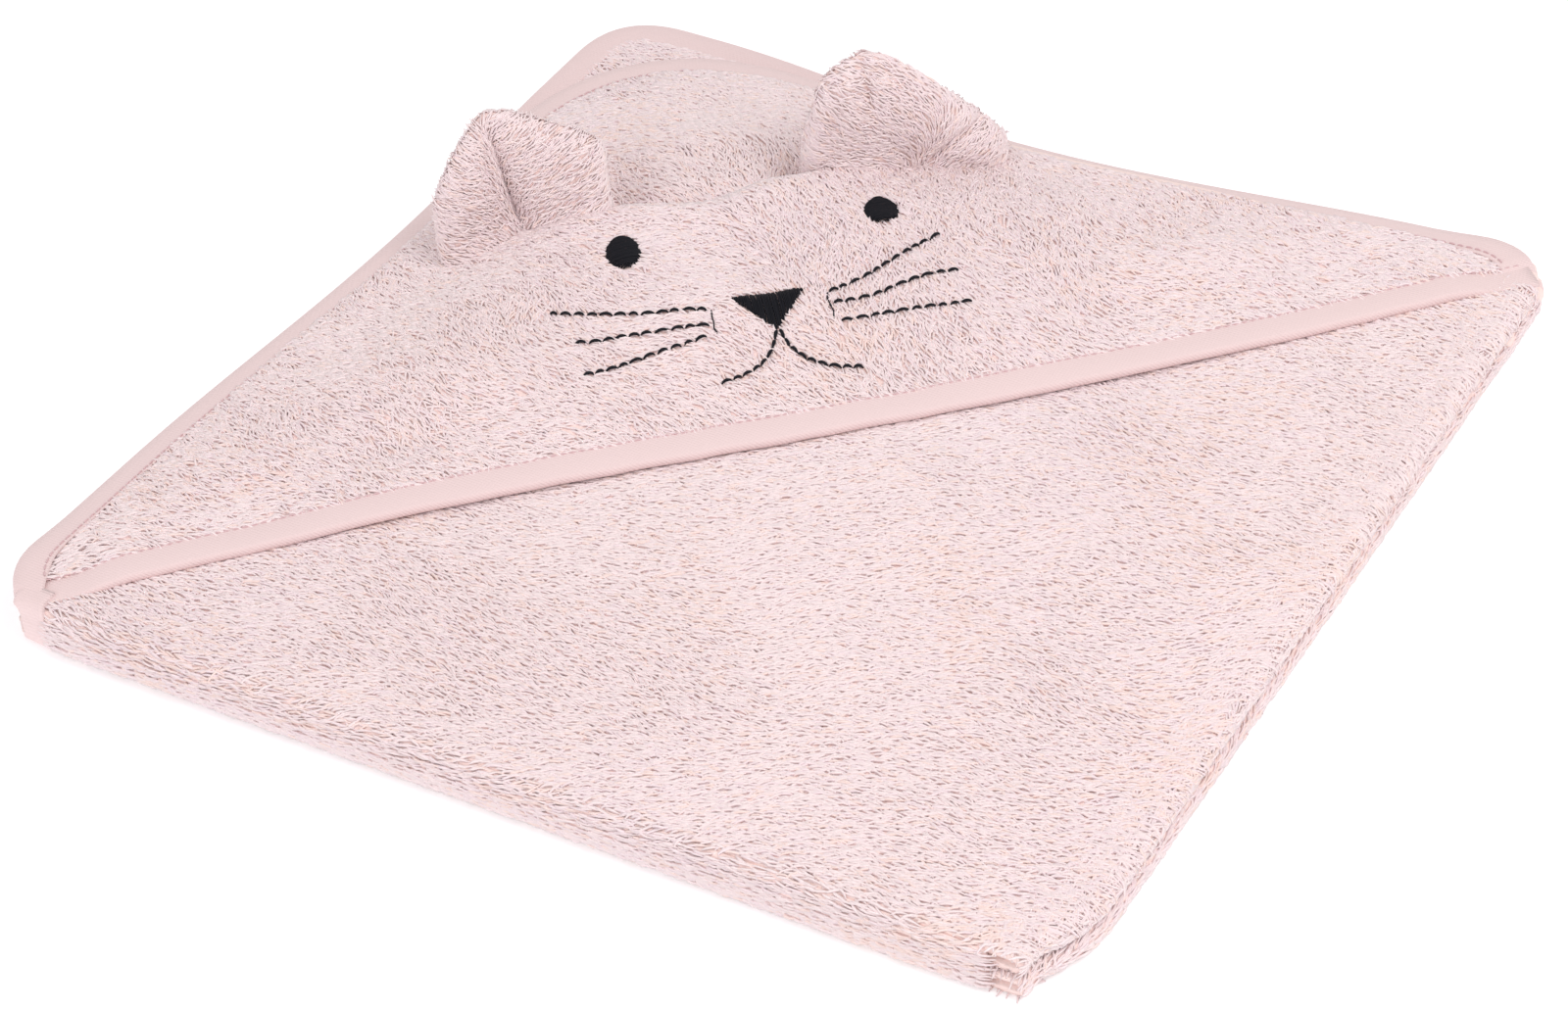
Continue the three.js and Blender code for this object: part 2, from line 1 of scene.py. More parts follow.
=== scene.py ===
"""Looks of the hooded baby towel: cloth, terry loops, binding tape, stitches and a sewn face."""

import json
import math

import bpy
import numpy as np
from mathutils import Matrix, Vector
from mathutils.bvhtree import BVHTree


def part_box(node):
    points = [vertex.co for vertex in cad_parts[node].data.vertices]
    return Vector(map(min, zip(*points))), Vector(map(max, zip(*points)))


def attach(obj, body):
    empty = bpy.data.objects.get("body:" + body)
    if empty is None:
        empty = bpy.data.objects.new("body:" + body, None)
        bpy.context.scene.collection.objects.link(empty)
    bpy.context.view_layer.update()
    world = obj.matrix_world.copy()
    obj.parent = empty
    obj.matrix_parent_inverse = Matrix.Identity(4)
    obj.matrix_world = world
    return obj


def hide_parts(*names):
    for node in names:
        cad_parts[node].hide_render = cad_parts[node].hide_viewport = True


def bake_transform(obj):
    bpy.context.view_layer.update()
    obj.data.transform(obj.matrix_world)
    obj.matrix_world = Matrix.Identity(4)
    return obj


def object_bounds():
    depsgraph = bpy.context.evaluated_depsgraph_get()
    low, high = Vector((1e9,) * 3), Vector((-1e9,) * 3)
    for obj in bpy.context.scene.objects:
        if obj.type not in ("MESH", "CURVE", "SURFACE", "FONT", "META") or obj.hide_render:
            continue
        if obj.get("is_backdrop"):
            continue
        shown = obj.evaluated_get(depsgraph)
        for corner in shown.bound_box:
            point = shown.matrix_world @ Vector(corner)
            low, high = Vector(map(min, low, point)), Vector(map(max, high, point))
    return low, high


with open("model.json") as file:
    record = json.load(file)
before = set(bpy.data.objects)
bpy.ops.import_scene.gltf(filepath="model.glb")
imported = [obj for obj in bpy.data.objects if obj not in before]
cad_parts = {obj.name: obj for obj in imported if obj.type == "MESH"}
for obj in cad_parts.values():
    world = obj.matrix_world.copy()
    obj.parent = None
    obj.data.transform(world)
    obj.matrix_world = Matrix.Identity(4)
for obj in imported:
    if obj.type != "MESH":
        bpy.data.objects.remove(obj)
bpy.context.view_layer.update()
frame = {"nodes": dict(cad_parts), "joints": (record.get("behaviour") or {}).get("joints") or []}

MM = 0.001

# ------------------------------------------------------------------ measures, in millimetres

CLOTH = 2.2  # the woven ground of the terry, without its loops
TERRY = 4.0  # one layer with its loops
TONGUE = 1.6  # the terry's edge pressed inside the tape

LOOP_LENGTH = 6.4
LOOP_WIDTH = 1.08
LOOP_HEIGHT = 1.05
LOOP_PITCH = 1.30
LOOP_PITCH_INSIDE = 2.9  # the faces that only show when the towel is unfolded
LOOPS_PER_PIECE = 8000

TAPE_WIDTH = 12.0
TAPE_WALL = 0.7
STITCH_INSET = 10.3
STITCH_LENGTH = 2.3
STITCH_PITCH = 3.0
STITCH_RADIUS = 0.24
STITCH_BOW = 0.30
STITCH_SINK = 0.12
SEAM_STEP = 0.5

VIEW_AZIMUTH = -11.79
VIEW_ELEVATION = 39.25
VIEW_ROLL = -4.99
VIEW_DISTANCE = 1.2385
VIEW_TARGET = (-0.01369, -0.03118, 0.0100)
VIEW_LENS = 90.6


def seeded(number):
    return np.random.default_rng(number)


def smoothstep(t):
    t = np.clip(t, 0, 1)
    return t * t * (3 - 2 * t)


def unit(v):
    return v / np.maximum(np.linalg.norm(v, axis=-1, keepdims=True), 1e-9)


def drift(x, y, period, seed):
    """A smooth random field between about -1 and 1."""
    table = seeded(seed).uniform(-1, 1, (64, 64))
    x = np.asarray(x) / period + 31.37
    y = np.asarray(y) / period + 17.73
    i, j = np.floor(x).astype(int), np.floor(y).astype(int)
    u, v = smoothstep(x - i), smoothstep(y - j)
    a, b = table[i % 64, j % 64], table[(i + 1) % 64, j % 64]
    c, d = table[i % 64, (j + 1) % 64], table[(i + 1) % 64, (j + 1) % 64]
    return (a * (1 - u) + b * u) * (1 - v) + (c * (1 - u) + d * u) * v


# ------------------------------------------------------------------ materials


def shader(name, colour, roughness, sheen=0.0):
    """A plain cloth-like material and its shader node."""
    material = bpy.data.materials.new(name)
    material.use_nodes = True
    principled = material.node_tree.nodes["Principled BSDF"]
    principled.inputs["Base Color"].default_value = (*colour, 1)
    principled.inputs["Roughness"].default_value = roughness
    principled.inputs["Sheen Weight"].default_value = sheen
    principled.inputs["Sheen Roughness"].default_value = 0.5
    principled.inputs["Specular IOR Level"].default_value = 0.25
    return material, principled


def grain(material, principled, texture, settings, strength, distance):
    """Roughens a material by a procedural texture in the piece's own space."""
    tree = material.node_tree
    place = tree.nodes.new("ShaderNodeTexCoord")
    pattern = tree.nodes.new(texture)
    for socket, value in settings.items():
        pattern.inputs[socket].default_value = value
    bump = tree.nodes.new("ShaderNodeBump")
    bump.inputs["Strength"].default_value = strength
    bump.inputs["Distance"].default_value = distance
    tree.links.new(place.outputs["Object"], pattern.inputs["Vector"])
    tree.links.new(pattern.outputs["Fac"], bump.inputs["Height"])
    tree.links.new(bump.outputs["Normal"], principled.inputs["Normal"])
    return pattern


def terry_material(name, colour, roughness, scale, strength, distance):
    """Matt cotton whose surface is roughened by fine noise."""
    material, principled = shader(name, colour, roughness, 0.15)
    grain(material, principled, "ShaderNodeTexNoise", {"Scale": scale, "Detail": 3}, strength, distance)
    return material


def tape_material():
    """Binding tape with a fine diagonal weave."""
    material, principled = shader("binding_tape", (0.860, 0.668, 0.662), 0.7, 0.1)
    weave = {"Scale": 420, "Distortion": 1.2, "Detail": 2}
    wave = grain(material, principled, "ShaderNodeTexWave", weave, 0.35, 0.0004)
    wave.wave_type = "BANDS"
    wave.bands_direction = "DIAGONAL"
    return material


def thread_material(name, colour, roughness):
    """Sewing thread with a faint twist and little shine."""
    material, principled = shader(name, colour, roughness)
    principled.inputs["Specular IOR Level"].default_value = 0.12
    grain(material, principled, "ShaderNodeTexNoise", {"Scale": 2500}, 0.3, 0.0003)
    return material


# The cloth under the loops is a deeper, warmer pink than the loops: painted shade for the pits between
# the loops.
GROUND_PAINTED_SHADE = terry_material("terry_ground_painted_shade", (0.990, 0.770, 0.730), 0.95, 700, 0.6, 0.001)
LOOPS = [
    terry_material("terry_loops", (0.985, 0.838, 0.840), 0.9, 1500, 0.3, 0.0003),
    terry_material("terry_loops_cool", (0.965, 0.815, 0.838), 0.9, 1500, 0.3, 0.0003),
    terry_material("terry_loops_warm", (0.990, 0.800, 0.760), 0.9, 1500, 0.3, 0.0003),
]
TAPE = tape_material()
PINK_THREAD = thread_material("sewing_thread", (0.72, 0.50, 0.52), 0.6)
BLACK_THREAD = thread_material("embroidery_thread", (0.010, 0.010, 0.014), 0.5)

# ------------------------------------------------------------------ making meshes


def mesh_object(name, points, faces, material, body=None, slots=None):
    """A smooth mesh object from points in millimetres and faces that all have as many corners."""
    points = np.asarray(points, np.float32) * MM
    faces = np.asarray(faces, np.int32)
    count, corners = faces.shape
    mesh = bpy.data.meshes.new(name)
    mesh.vertices.add(len(points))
    mesh.vertices.foreach_set("co", points.ravel())
    mesh.loops.add(count * corners)
    mesh.loops.foreach_set("vertex_index", faces.ravel())
    mesh.polygons.add(count)
    mesh.polygons.foreach_set("loop_start", np.arange(0, count * corners, corners, dtype=np.int32))
    mesh.update(calc_edges=True)
    mesh.polygons.foreach_set("use_smooth", np.ones(count, bool))
    for one in material if isinstance(material, list) else [material]:
        mesh.materials.append(one)
    if slots is not None:
        mesh.polygons.foreach_set("material_index", np.asarray(slots, np.int32))
    made = bpy.data.objects.new(name, mesh)
    bpy.context.scene.collection.objects.link(made)
    if body:
        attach(made, body)
    return made


def grid_faces(rows, columns, wrap=False):
    i, j = np.meshgrid(np.arange(rows - 1), np.arange(columns if wrap else columns - 1), indexing="ij")
    k = (j + 1) % columns
    return np.stack(
        [i * columns + j, i * columns + k, (i + 1) * columns + k, (i + 1) * columns + j], -1
    ).reshape(-1, 4)


def grid_normals(grid):
    down = np.gradient(grid, axis=0)
    along = np.gradient(grid, axis=1)
    return unit(np.cross(along, down))


def closed_sheet(name, grid, half, material, body=None):
    """A grid of points given a thickness, with its four sides closed."""
    rows, columns = grid.shape[:2]
    half = np.broadcast_to(half, grid.shape[:2])[..., None]
    normal = grid_normals(grid)
    top, under = grid + normal * half, grid - normal * half
    points = np.concatenate([top.reshape(-1, 3), under.reshape(-1, 3)])
    upper = grid_faces(rows, columns)
    size = rows * columns
    lower = upper[:, ::-1] + size
    index = np.arange(size).reshape(rows, columns)
    ring = np.concatenate([index[0, :-1], index[:-1, -1], index[-1, :0:-1], index[:0:-1, 0]])
    following = np.roll(ring, -1)
    sides = np.stack([ring, ring + size, following + size, following], -1)
    faces = np.concatenate([upper, lower, sides])[:, ::-1]
    return mesh_object(name, points, faces, material, body)


def tube(points, radius, sides=6, flat=1.0, up=(0, 0, 1)):
    """A closed tube along points, its radius given at each, and its faces."""
    points = np.asarray(points, float)
    ahead = unit(np.gradient(points, axis=0))
    across = unit(np.cross(np.broadcast_to(up, ahead.shape), ahead))
    over = np.cross(ahead, across)
    radius = np.broadcast_to(radius, len(points))[:, None, None]
    turn = 2 * np.pi * np.arange(sides) / sides
    ring = (
        points[:, None]
        + across[:, None] * np.cos(turn)[None, :, None] * radius
        + over[:, None] * np.sin(turn)[None, :, None] * radius * flat
    )
    return ring.reshape(-1, 3), grid_faces(len(points), sides, True)


def gather(parts):
    """Several (points, faces) as one."""
    offset, points, faces = 0, [], []
    for p, f in parts:
        points.append(p)
        faces.append(f + offset)
        offset += len(p)
    return np.concatenate(points), np.concatenate(faces)


# ------------------------------------------------------------------ places read from the frame


def low_high(*nodes):
    boxes = [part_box(node) for node in nodes]
    low = np.min([np.array(b[0]) for b in boxes], 0) / MM
    high = np.max([np.array(b[1]) for b in boxes], 0) / MM
    return low, high


def node_points(*nodes):
    """The corners of some CAD nodes, in millimetres."""
    found = []
    for node in nodes:
        mesh = frame["nodes"][node].data
        co = np.empty(len(mesh.vertices) * 3)
        mesh.vertices.foreach_get("co", co)
        found.append(co.reshape(-1, 3) / MM)
    return np.concatenate(found)


HINGE = next(j for j in frame["joints"] if j["name"] == "unfold")
HINGE_X, HINGE_Y, HINGE_Z = [v / MM for v in HINGE["pos_m"]]
FRONT_Y = HINGE_Y - HINGE_X
ROOT2 = math.sqrt(2)
PAIR_START = HINGE_Z + 0.3


def to_square(x, y):
    """Plan position in the square's own axes, from its front corner along its two folds."""
    return (x + y - FRONT_Y) / ROOT2, (y - FRONT_Y - x) / ROOT2


def to_plan(a, b):
    return (a - b) / ROOT2, FRONT_Y + (a + b) / ROOT2


def resample(line, step):
    """The same line with points at even steps."""
    length = np.concatenate([[0], np.cumsum(np.linalg.norm(np.diff(line, axis=0), axis=1))])
    at = np.linspace(0, length[-1], max(int(round(length[-1] / step)), 2) + 1)
    return np.stack([np.interp(at, length, line[:, k]) for k in range(line.shape[1])], -1)


def at_share(line, share):
    length = np.concatenate([[0], np.cumsum(np.linalg.norm(np.diff(line, axis=0), axis=1))])
    length /= length[-1]
    return np.stack([np.interp(share, length, line[:, k]) for k in range(line.shape[1])], -1)


def rounded(corners, radii):
    """A closed outline, 1 mm apart, with each corner rounded."""
    corners = np.array(corners, float)
    line = []
    for k, corner in enumerate(corners):
        back = unit(corners[k - 1] - corner)
        ahead = unit(corners[(k + 1) % len(corners)] - corner)
        t = np.linspace(0, 1, 25)[:, None]
        leg = radii[k] * 1.15  # the curve is tighter in its middle than an arc
        start, end = corner + back * leg, corner + ahead * leg
        line.append((1 - t) ** 2 * start + 2 * t * (1 - t) * corner + t**2 * end)
    line = np.concatenate(line)
    return resample(np.concatenate([line, line[:1]]), 1.0)[:-1]


def sag(line, side, depth, start, end):
    """Draws one side of an outline in by a soft curve between two distances along it."""
    along = line[:, 1 - side]
    t = np.clip((along - start) / (end - start), 0, 1)
    reach = line[:, side] > 300
    line = line.copy()
    line[reach, side] -= depth * np.sin(np.pi * t[reach]) ** 2
    return line


def corners_of(line):
    """The outline's front, right, back and left corners."""
    a, b = line.T
    return int(np.argmin(a + b)), int(np.argmax(a - b)), int(np.argmax(a + b)), int(np.argmax(b - a))


def stretch(line, start, end):
    """The outline from one corner on to another."""
    index = np.arange(start, end + (len(line) if end < start else 0) + 1) % len(line)
    return line[index]


def side_normals(line):
    """Outward directions of a run of the outline."""
    ahead = unit(np.gradient(line, axis=0))
    return np.stack([ahead[:, 1], -ahead[:, 0]], -1)


reach_a, reach_b = to_square(*node_points("binding_lower_pair")[:, :2].T)
SIDE = float(max(reach_a.max(), reach_b.max()))
# Each pair's outline: its front, right, back and left corners, their rounding, and how far each
# bound side is drawn in between two distances along it.
FRONT_CORNER, LEFT_CORNER = (7, 3.5), (4, SIDE + 1)
LOWER_CORNERS = [FRONT_CORNER, (SIDE - 1, 4), (SIDE + 8, SIDE + 3), LEFT_CORNER]
LOWER_RADII = [34, 18, 26, 27]
LOWER_LINE = rounded(LOWER_CORNERS, LOWER_RADII)
LOWER_LINE = sag(LOWER_LINE, side=0, depth=14, start=30, end=335)
LOWER_LINE = sag(LOWER_LINE, side=1, depth=9, start=60, end=325)
UPPER_CORNERS = [FRONT_CORNER, (SIDE - 4, 4), (SIDE - 12, SIDE - 8), LEFT_CORNER]
UPPER_RADII = [36, 22, 78, 27]
UPPER_LINE = rounded(UPPER_CORNERS, UPPER_RADII)
UPPER_LINE = sag(UPPER_LINE, side=0, depth=10, start=25, end=335)
UPPER_LINE = sag(UPPER_LINE, side=1, depth=5, start=80, end=345)
EDGE_TILT = math.radians(15)  # how far the top layer's bound edge leans down


def patch_sides(line, inset):
    """The four sides of the flat layers beside the second fold: bottom, right, top and left."""
    front, right, back, left = corners_of(line)
    bottom = stretch(line, front, right)
    bound_right = stretch(line, right, back)
    bound_top = stretch(line, back, left)[::-1]
    bound_right = bound_right - side_normals(bound_right) * inset
    bound_top = bound_top + side_normals(bound_top) * inset
    bottom = bottom[bottom[:, 0] >= PAIR_START]
    start = np.array([[PAIR_START, np.interp(PAIR_START, *bottom[:3].T)]])
    bottom = np.concatenate([start, bottom])
    keep = bound_top[:, 0] >= PAIR_START
    edge = np.array([[PAIR_START, bound_top[keep][0, 1]]])
    bound_top = np.concatenate([edge, bound_top[keep]])
    bottom[-1] = bound_right[0]
    bound_top[-1] = bound_right[-1]
    left_side = np.stack([bottom[0], bound_top[0]])
    return bottom, bound_right, bound_top, left_side


def coons(sides, p, q):
    """Points of the patch between four sides."""
    bottom, right, top, left = sides
    p, q = np.broadcast_arrays(p, q)
    shape = p.shape
    p, q = p.ravel(), q.ravel()
    b, t = at_share(bottom, p), at_share(top, p)
    r, l = at_share(right, q), at_share(left, q)
    p, q = p[:, None], q[:, None]
    near = (1 - p) * bottom[0] + p * bottom[-1]
    far = (1 - p) * top[0] + p * top[-1]
    corner = (1 - q) * near + q * far
    return ((1 - q) * b + q * t + (1 - p) * l + p * r - corner).reshape(*shape, 2)


def level_drift(a, b, seed):
    """The slight unevenness of a soft layer that lies flat."""
    return 0.55 * drift(a, b, 70, seed) + 0.3 * drift(a, b, 28, seed + 1)


def tilt_share(along):
    """The bound edge leans down between the corners, and lies flat at them."""
    return smoothstep(along / 40) * (1 - 0.85 * smoothstep((along - 270) / 60))


def edge_dip(gap, along):
    """How far a leaning bound edge drops, by the gap to its crease and the way along from its ends."""
    return math.tan(EDGE_TILT) * np.clip(TAPE_WIDTH - gap, 0, None) * tilt_share(along)


def bound_run(line):
    """The bound part of an outline, from the second fold over the back to the right corner."""
    _, right, _, left = corners_of(line)
    run = stretch(line, right, left)[::-1]
    run = run[run[:, 0] >= PAIR_START]
    return resample(run, 3.0)


CORNER_STATIONS = 14


def under_tape(line, a, b):
    """Keeps the cloth at the left corner inside the tape's crease."""
    corner = bound_run(line)[:CORNER_STATIONS]
    limit = np.interp(a, corner[:, 0], corner[:, 1]) - 3.0
    return np.where((a < 40) & (b > SIDE / 2), np.minimum(b, limit), b)


def pair_grid(line, middle, seed, leaning=False):
    """The middle surface of two layers joined along the first fold."""
    sides = patch_sides(line, CLOTH_INSET)
    p = np.linspace(0, 1, FLAT_COLUMNS)
    bottom = at_share(sides[0], p)
    inward = -side_normals(np.array(bottom))
    q0 = (LAYER_OFF + TERRY / 2) / FLAT_LENGTH
    q = np.linspace(1, q0, FLAT_ROWS)
    flat = coons(sides, p[None, :], q[:, None])
    angles = np.linspace(0, np.pi, TURN_ROWS + 2)[1:-1]

    def at_height(spots, z):
        return np.concatenate([spots, np.full((FLAT_COLUMNS, 1), z)], 1)

    rows = [at_height(spots, middle - LAYER_OFF) for spots in flat]
    for angle in angles:
        spots = flat[-1] - inward * LAYER_OFF * math.sin(angle)
        rows.append(at_height(spots, middle - LAYER_OFF * math.cos(angle)))
    rows += [at_height(spots, middle + LAYER_OFF) for spots in flat[::-1]]
    grid = np.array(rows)
    a, b = grid[..., 0], grid[..., 1]
    lift = level_drift(a, b, seed)
    way = np.concatenate([q, np.full(TURN_ROWS, q0), q[::-1]])[:, None]
    near_edge = smoothstep((way * -1 + 1) * FLAT_LENGTH / 20)
    side_edge = smoothstep((1 - p[None, :]) * FLAT_LENGTH / 20)
    side_edge = side_edge * smoothstep(p[None, :] * FLAT_LENGTH / 12)
    grid[..., 2] += lift * near_edge * side_edge
    if leaning:
        top = slice(FLAT_ROWS + TURN_ROWS, None)
        gap = np.minimum((1 - q[::-1])[:, None], 1 - p[None, :]) * FLAT_LENGTH + CLOTH_INSET
        grid[top, :, 2] -= edge_dip(gap, np.minimum(a[top], b[top]) - PAIR_START)
    x, y = to_plan(a, under_tape(line, a, b))
    return np.stack([x, y, grid[..., 2]], -1), (FLAT_ROWS, TURN_ROWS)


def edge_half(rows, columns, full, pressed, near):
    """Half thickness of a layer: pressed along its bound edges."""
    r = np.minimum(np.arange(rows), np.arange(rows)[::-1])[:, None]
    c = (columns - 1 - np.arange(columns))[None, :]
    away = np.minimum(r, c)
    return pressed + (full - pressed) * smoothstep(away / near)


FLAT_ROWS, FLAT_COLUMNS, TURN_ROWS = 70, 76, 7
FLAT_LENGTH = 366  # how far the flat part of a layer reaches
lower_low, lower_high = low_high("towel_lower_pair")
upper_low, upper_high = low_high("towel_upper_pair")
LOWER_MIDDLE = (lower_low[2] + lower_high[2]) / 2
UPPER_MIDDLE = (upper_low[2] + upper_high[2]) / 2
LAYER_OFF = (lower_high[2] - lower_low[2]) / 2 - TERRY / 2

CLOTH_INSET = 2.0  # the cloth's edge stops this far inside the tape's crease
lower_grid, lower_parts = pair_grid(LOWER_LINE, LOWER_MIDDLE, 11)
upper_grid, upper_parts = pair_grid(UPPER_LINE, UPPER_MIDDLE, 21, leaning=True)
half = edge_half(lower_grid.shape[0], FLAT_COLUMNS, CLOTH / 2, TONGUE / 2, 3)
lower_cloth = closed_sheet("towel_lower_cloth", lower_grid, half, GROUND_PAINTED_SHADE, "lower_pair")
upper_cloth = closed_sheet("towel_upper_cloth", upper_grid, half, GROUND_PAINTED_SHADE, "upper_pair")
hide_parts("towel_lower_pair")
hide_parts("towel_upper_pair")


def fold_side(line):
    """The outline beside the second fold, from its front end to its left one."""
    front, _, back, left = corners_of(line)
    edge = np.concatenate([stretch(line, back, left), stretch(line, left, front)[1:]])[::-1]
    return edge[edge[:, 0] <= PAIR_START + 0.5]


FOLD_EDGE = fold_side(LOWER_LINE)
FOLD_TOP_B = float(FOLD_EDGE[-1, 1])


def fold_point(radius, b, angle):
    """A place on one turn of the second fold: how far along it, and how far round."""
    nose = np.clip(np.interp(b, FOLD_EDGE[:, 1], FOLD_EDGE[:, 0]), 0, PAIR_START)
    a = PAIR_START - radius * np.sin(angle) * (PAIR_START - nose) / PAIR_START
    x, y = to_plan(a, b)
    return np.stack([x, y, HINGE_Z - radius * np.cos(angle) + 0 * b], -1)


FOLD_COLUMNS, FOLD_ROWS = 90, 11


def fold_grid(radius, inset):
    """The middle surface of one turn of the second fold, from the front corner to the left one."""
    start = float(FOLD_EDGE[0, 1])
    b = start + (FOLD_TOP_B - inset - start) * np.linspace(0, 1, FOLD_COLUMNS)[None, :]
    angle = np.linspace(0, np.pi, FOLD_ROWS)[:, None]
    return fold_point(radius, *np.broadcast_arrays(b, angle))


inner_low, inner_high = low_high("fold_inner_turn")
OUTER_TURN = HINGE_Z - TERRY / 2
INNER_TURN = (inner_high[2] - inner_low[2]) / 2 - TERRY / 2


def bend(made):
    """Bakes a piece's placement into its mesh."""
    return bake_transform(made)


FOLD_INSET = 6.0  # the strip's end, hidden inside the tape that goes round the fold
outer_grid = fold_grid(OUTER_TURN, FOLD_INSET)
inner_grid = fold_grid(INNER_TURN, FOLD_INSET)
pressed = smoothstep(np.arange(FOLD_COLUMNS)[::-1] / 3)[None, :]
fold_half = np.broadcast_to(TONGUE / 2 + (CLOTH - TONGUE) / 2 * pressed, outer_grid.shape[:2])
outer_cloth = closed_sheet("fold_outer_cloth", outer_grid, fold_half, GROUND_PAINTED_SHADE)
inner_cloth = closed_sheet("fold_inner_cloth", inner_grid, fold_half, GROUND_PAINTED_SHADE)
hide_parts("fold_outer_turn")
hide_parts("fold_inner_turn")
bend(outer_cloth)
bend(inner_cloth)

# ------------------------------------------------------------------ the hood

def top_of(nodes, x, y):
    """Height of the highest face of some nodes at plan positions, or nothing where there is none."""
    found = np.full(np.shape(x), np.nan)
    for node in nodes:
        mesh = frame["nodes"][node].data
        tree = BVHTree.FromPolygons(
            [v.co for v in mesh.vertices], [tuple(p.vertices) for p in mesh.polygons]
        )
        flat_x, flat_y = np.ravel(x), np.ravel(y)
        for k in range(flat_x.size):
            hit = tree.ray_cast(Vector((flat_x[k] * MM, flat_y[k] * MM, 1)), Vector((0, 0, -1)))[0]
            if hit is not None:
                old = found.flat[k]
                found.flat[k] = hit.z / MM if math.isnan(old) else max(old, hit.z / MM)
    return found


GRID_STEP = 5.0
field_x = np.arange(-260, 260.1, GRID_STEP)
field_y = np.arange(-40, 265.1, GRID_STEP)
mesh_x, mesh_y = np.meshgrid(field_x, field_y, indexing="ij")
raw = top_of(["hood_panel"], mesh_x, mesh_y)


def spread(values, rounds):
    """Fills gaps from their neighbours, then smooths."""
    values = values.copy()
    for _ in range(80):
        gap = np.isnan(values)
        if not gap.any():
            break
        padded = np.pad(values, 1, constant_values=np.nan)
        near = np.stack([padded[1:-1, :-2], padded[1:-1, 2:], padded[:-2, 1:-1], padded[2:, 1:-1]])
        known = ~np.isnan(near)
        count = known.sum(0)
        mean = np.where(known, near, 0).sum(0) / np.maximum(count, 1)
        fill = gap & (count > 0)
        values[fill] = mean[fill]
    for _ in range(rounds):
        padded = np.pad(values, 1, mode="edge")
        values = (
            padded[1:-1, :-2] + padded[1:-1, 2:] + padded[:-2, 1:-1] + padded[2:, 1:-1] + 2 * values
        ) / 6
    return values


hood_field = spread(raw, 4)


def field_at(field, x, y):
    u = np.clip((np.asarray(x) - field_x[0]) / GRID_STEP, 0, len(field_x) - 1.001)
    v = np.clip((np.asarray(y) - field_y[0]) / GRID_STEP, 0, len(field_y) - 1.001)
    i, j = u.astype(int), v.astype(int)
    u, v = u - i, v - j
    return (
        field[i, j] * (1 - u) * (1 - v)
        + field[i + 1, j] * u * (1 - v)
        + field[i, j + 1] * (1 - u) * v
        + field[i + 1, j + 1] * u * v
    )


edge_points = node_points("hood_binding")
edge_points = edge_points[np.argsort(edge_points[:, 0])]
front_x = np.arange(-225, 226, 9.0)
front_y = np.array([edge_points[np.abs(edge_points[:, 0] - x) < 9, 1].min() for x in front_x])


def front_line(x):
    """The free edge of the hood, at the tape's crease."""
    return np.interp(x, front_x, front_y)


_, right_corner, _, left_corner = corners_of(UPPER_LINE)
back_curve = np.stack(to_plan(*stretch(UPPER_LINE, right_corner, left_corner).T), -1)
back_curve = back_curve[np.argsort(back_curve[:, 0])]


def back_line(x, inset=0.0):
    """The hood's sewn edge: the upper pair's outline, moved in."""
    slope = np.gradient(back_curve[:, 1], back_curve[:, 0] + np.arange(len(back_curve)) * 1e-6)
    steep = np.sqrt(1 + np.clip(slope, -4, 4) ** 2)
    return np.interp(x, back_curve[:, 0], back_curve[:, 1] - inset * steep)


back_ab = np.stack(to_square(*back_curve.T), -1)
gap_field = np.zeros(mesh_x.shape)
field_a, field_b = to_square(mesh_x, mesh_y)
for place in np.ndindex(gap_field.shape):
    reach_back = np.hypot(back_ab[:, 0] - field_a[place], back_ab[:, 1] - field_b[place])
    gap_field[place] = reach_back.min()

LIP_DROOP = 4.4
LIP_DROOP_REACH = 60
BROW_MIDDLE = 105.0
BROW_BOW = 14.0
TAPE_SEAT = 18.2  # the visible top of the hood where the perimeter tape holds it
# Hollows and swellings of the hood: plan position, height and reach each way.
RELIEF = [
    (32, 124, -7.0, 12, 13),
    (-30, 134, -5.0, 14, 12),
    (0, 150, 3.0, 34, 22),
    (-135, 62, 2.6, 26, 16),
    (-172, 30, 2.2, 16, 12),
    (-118, 22, -2.4, 22, 10),
    (108, 70, 2.0, 20, 14),
    (150, 30, 1.8, 22, 12),
    (125, 92, -2.0, 16, 9),
    (-8, 48, 1.6, 20, 16),
]


def hood_height(x, y):
    """The visible top of the hood's terry, loops included."""
    z = field_at(hood_field, x, y)
    away = np.asarray(y) - front_line(x)
    middle = 1 - smoothstep((np.abs(x) - 150) / 80)
    z = z - LIP_DROOP * middle * (1 - smoothstep(away / LIP_DROOP_REACH))
    soft = smoothstep(away / 30) * smoothstep((back_line(x, 12) - y) / 35)
    z = z + soft * (1.7 * drift(x, y, 46, 31) + 0.9 * drift(x, y, 21, 32))
    for spot_x, spot_y, high, wide, deep in RELIEF:
        z = z + soft * high * np.exp(-(((x - spot_x) / wide) ** 2) - ((y - spot_y) / deep) ** 2)
    brow = BROW_MIDDLE + BROW_BOW * smoothstep(np.abs(x) / 45)
    behind = y - brow
    between = 1 - smoothstep((np.abs(x) - 40) / 30)
    ridge = 2.8 * np.exp(-(((behind + 7) / 9) ** 2))
    dent = 5.5 * np.exp(-(((behind - 8) / 8) ** 2))
    z = z + between * (ridge - dent)
    ends = smoothstep((np.abs(x) - 214) / 24)
    z = z * (1 - ends) + TAPE_SEAT * ends
    a, b = to_square(x, y)
    return z - edge_dip(field_at(gap_field, x, y), np.minimum(a, b) - PAIR_START)


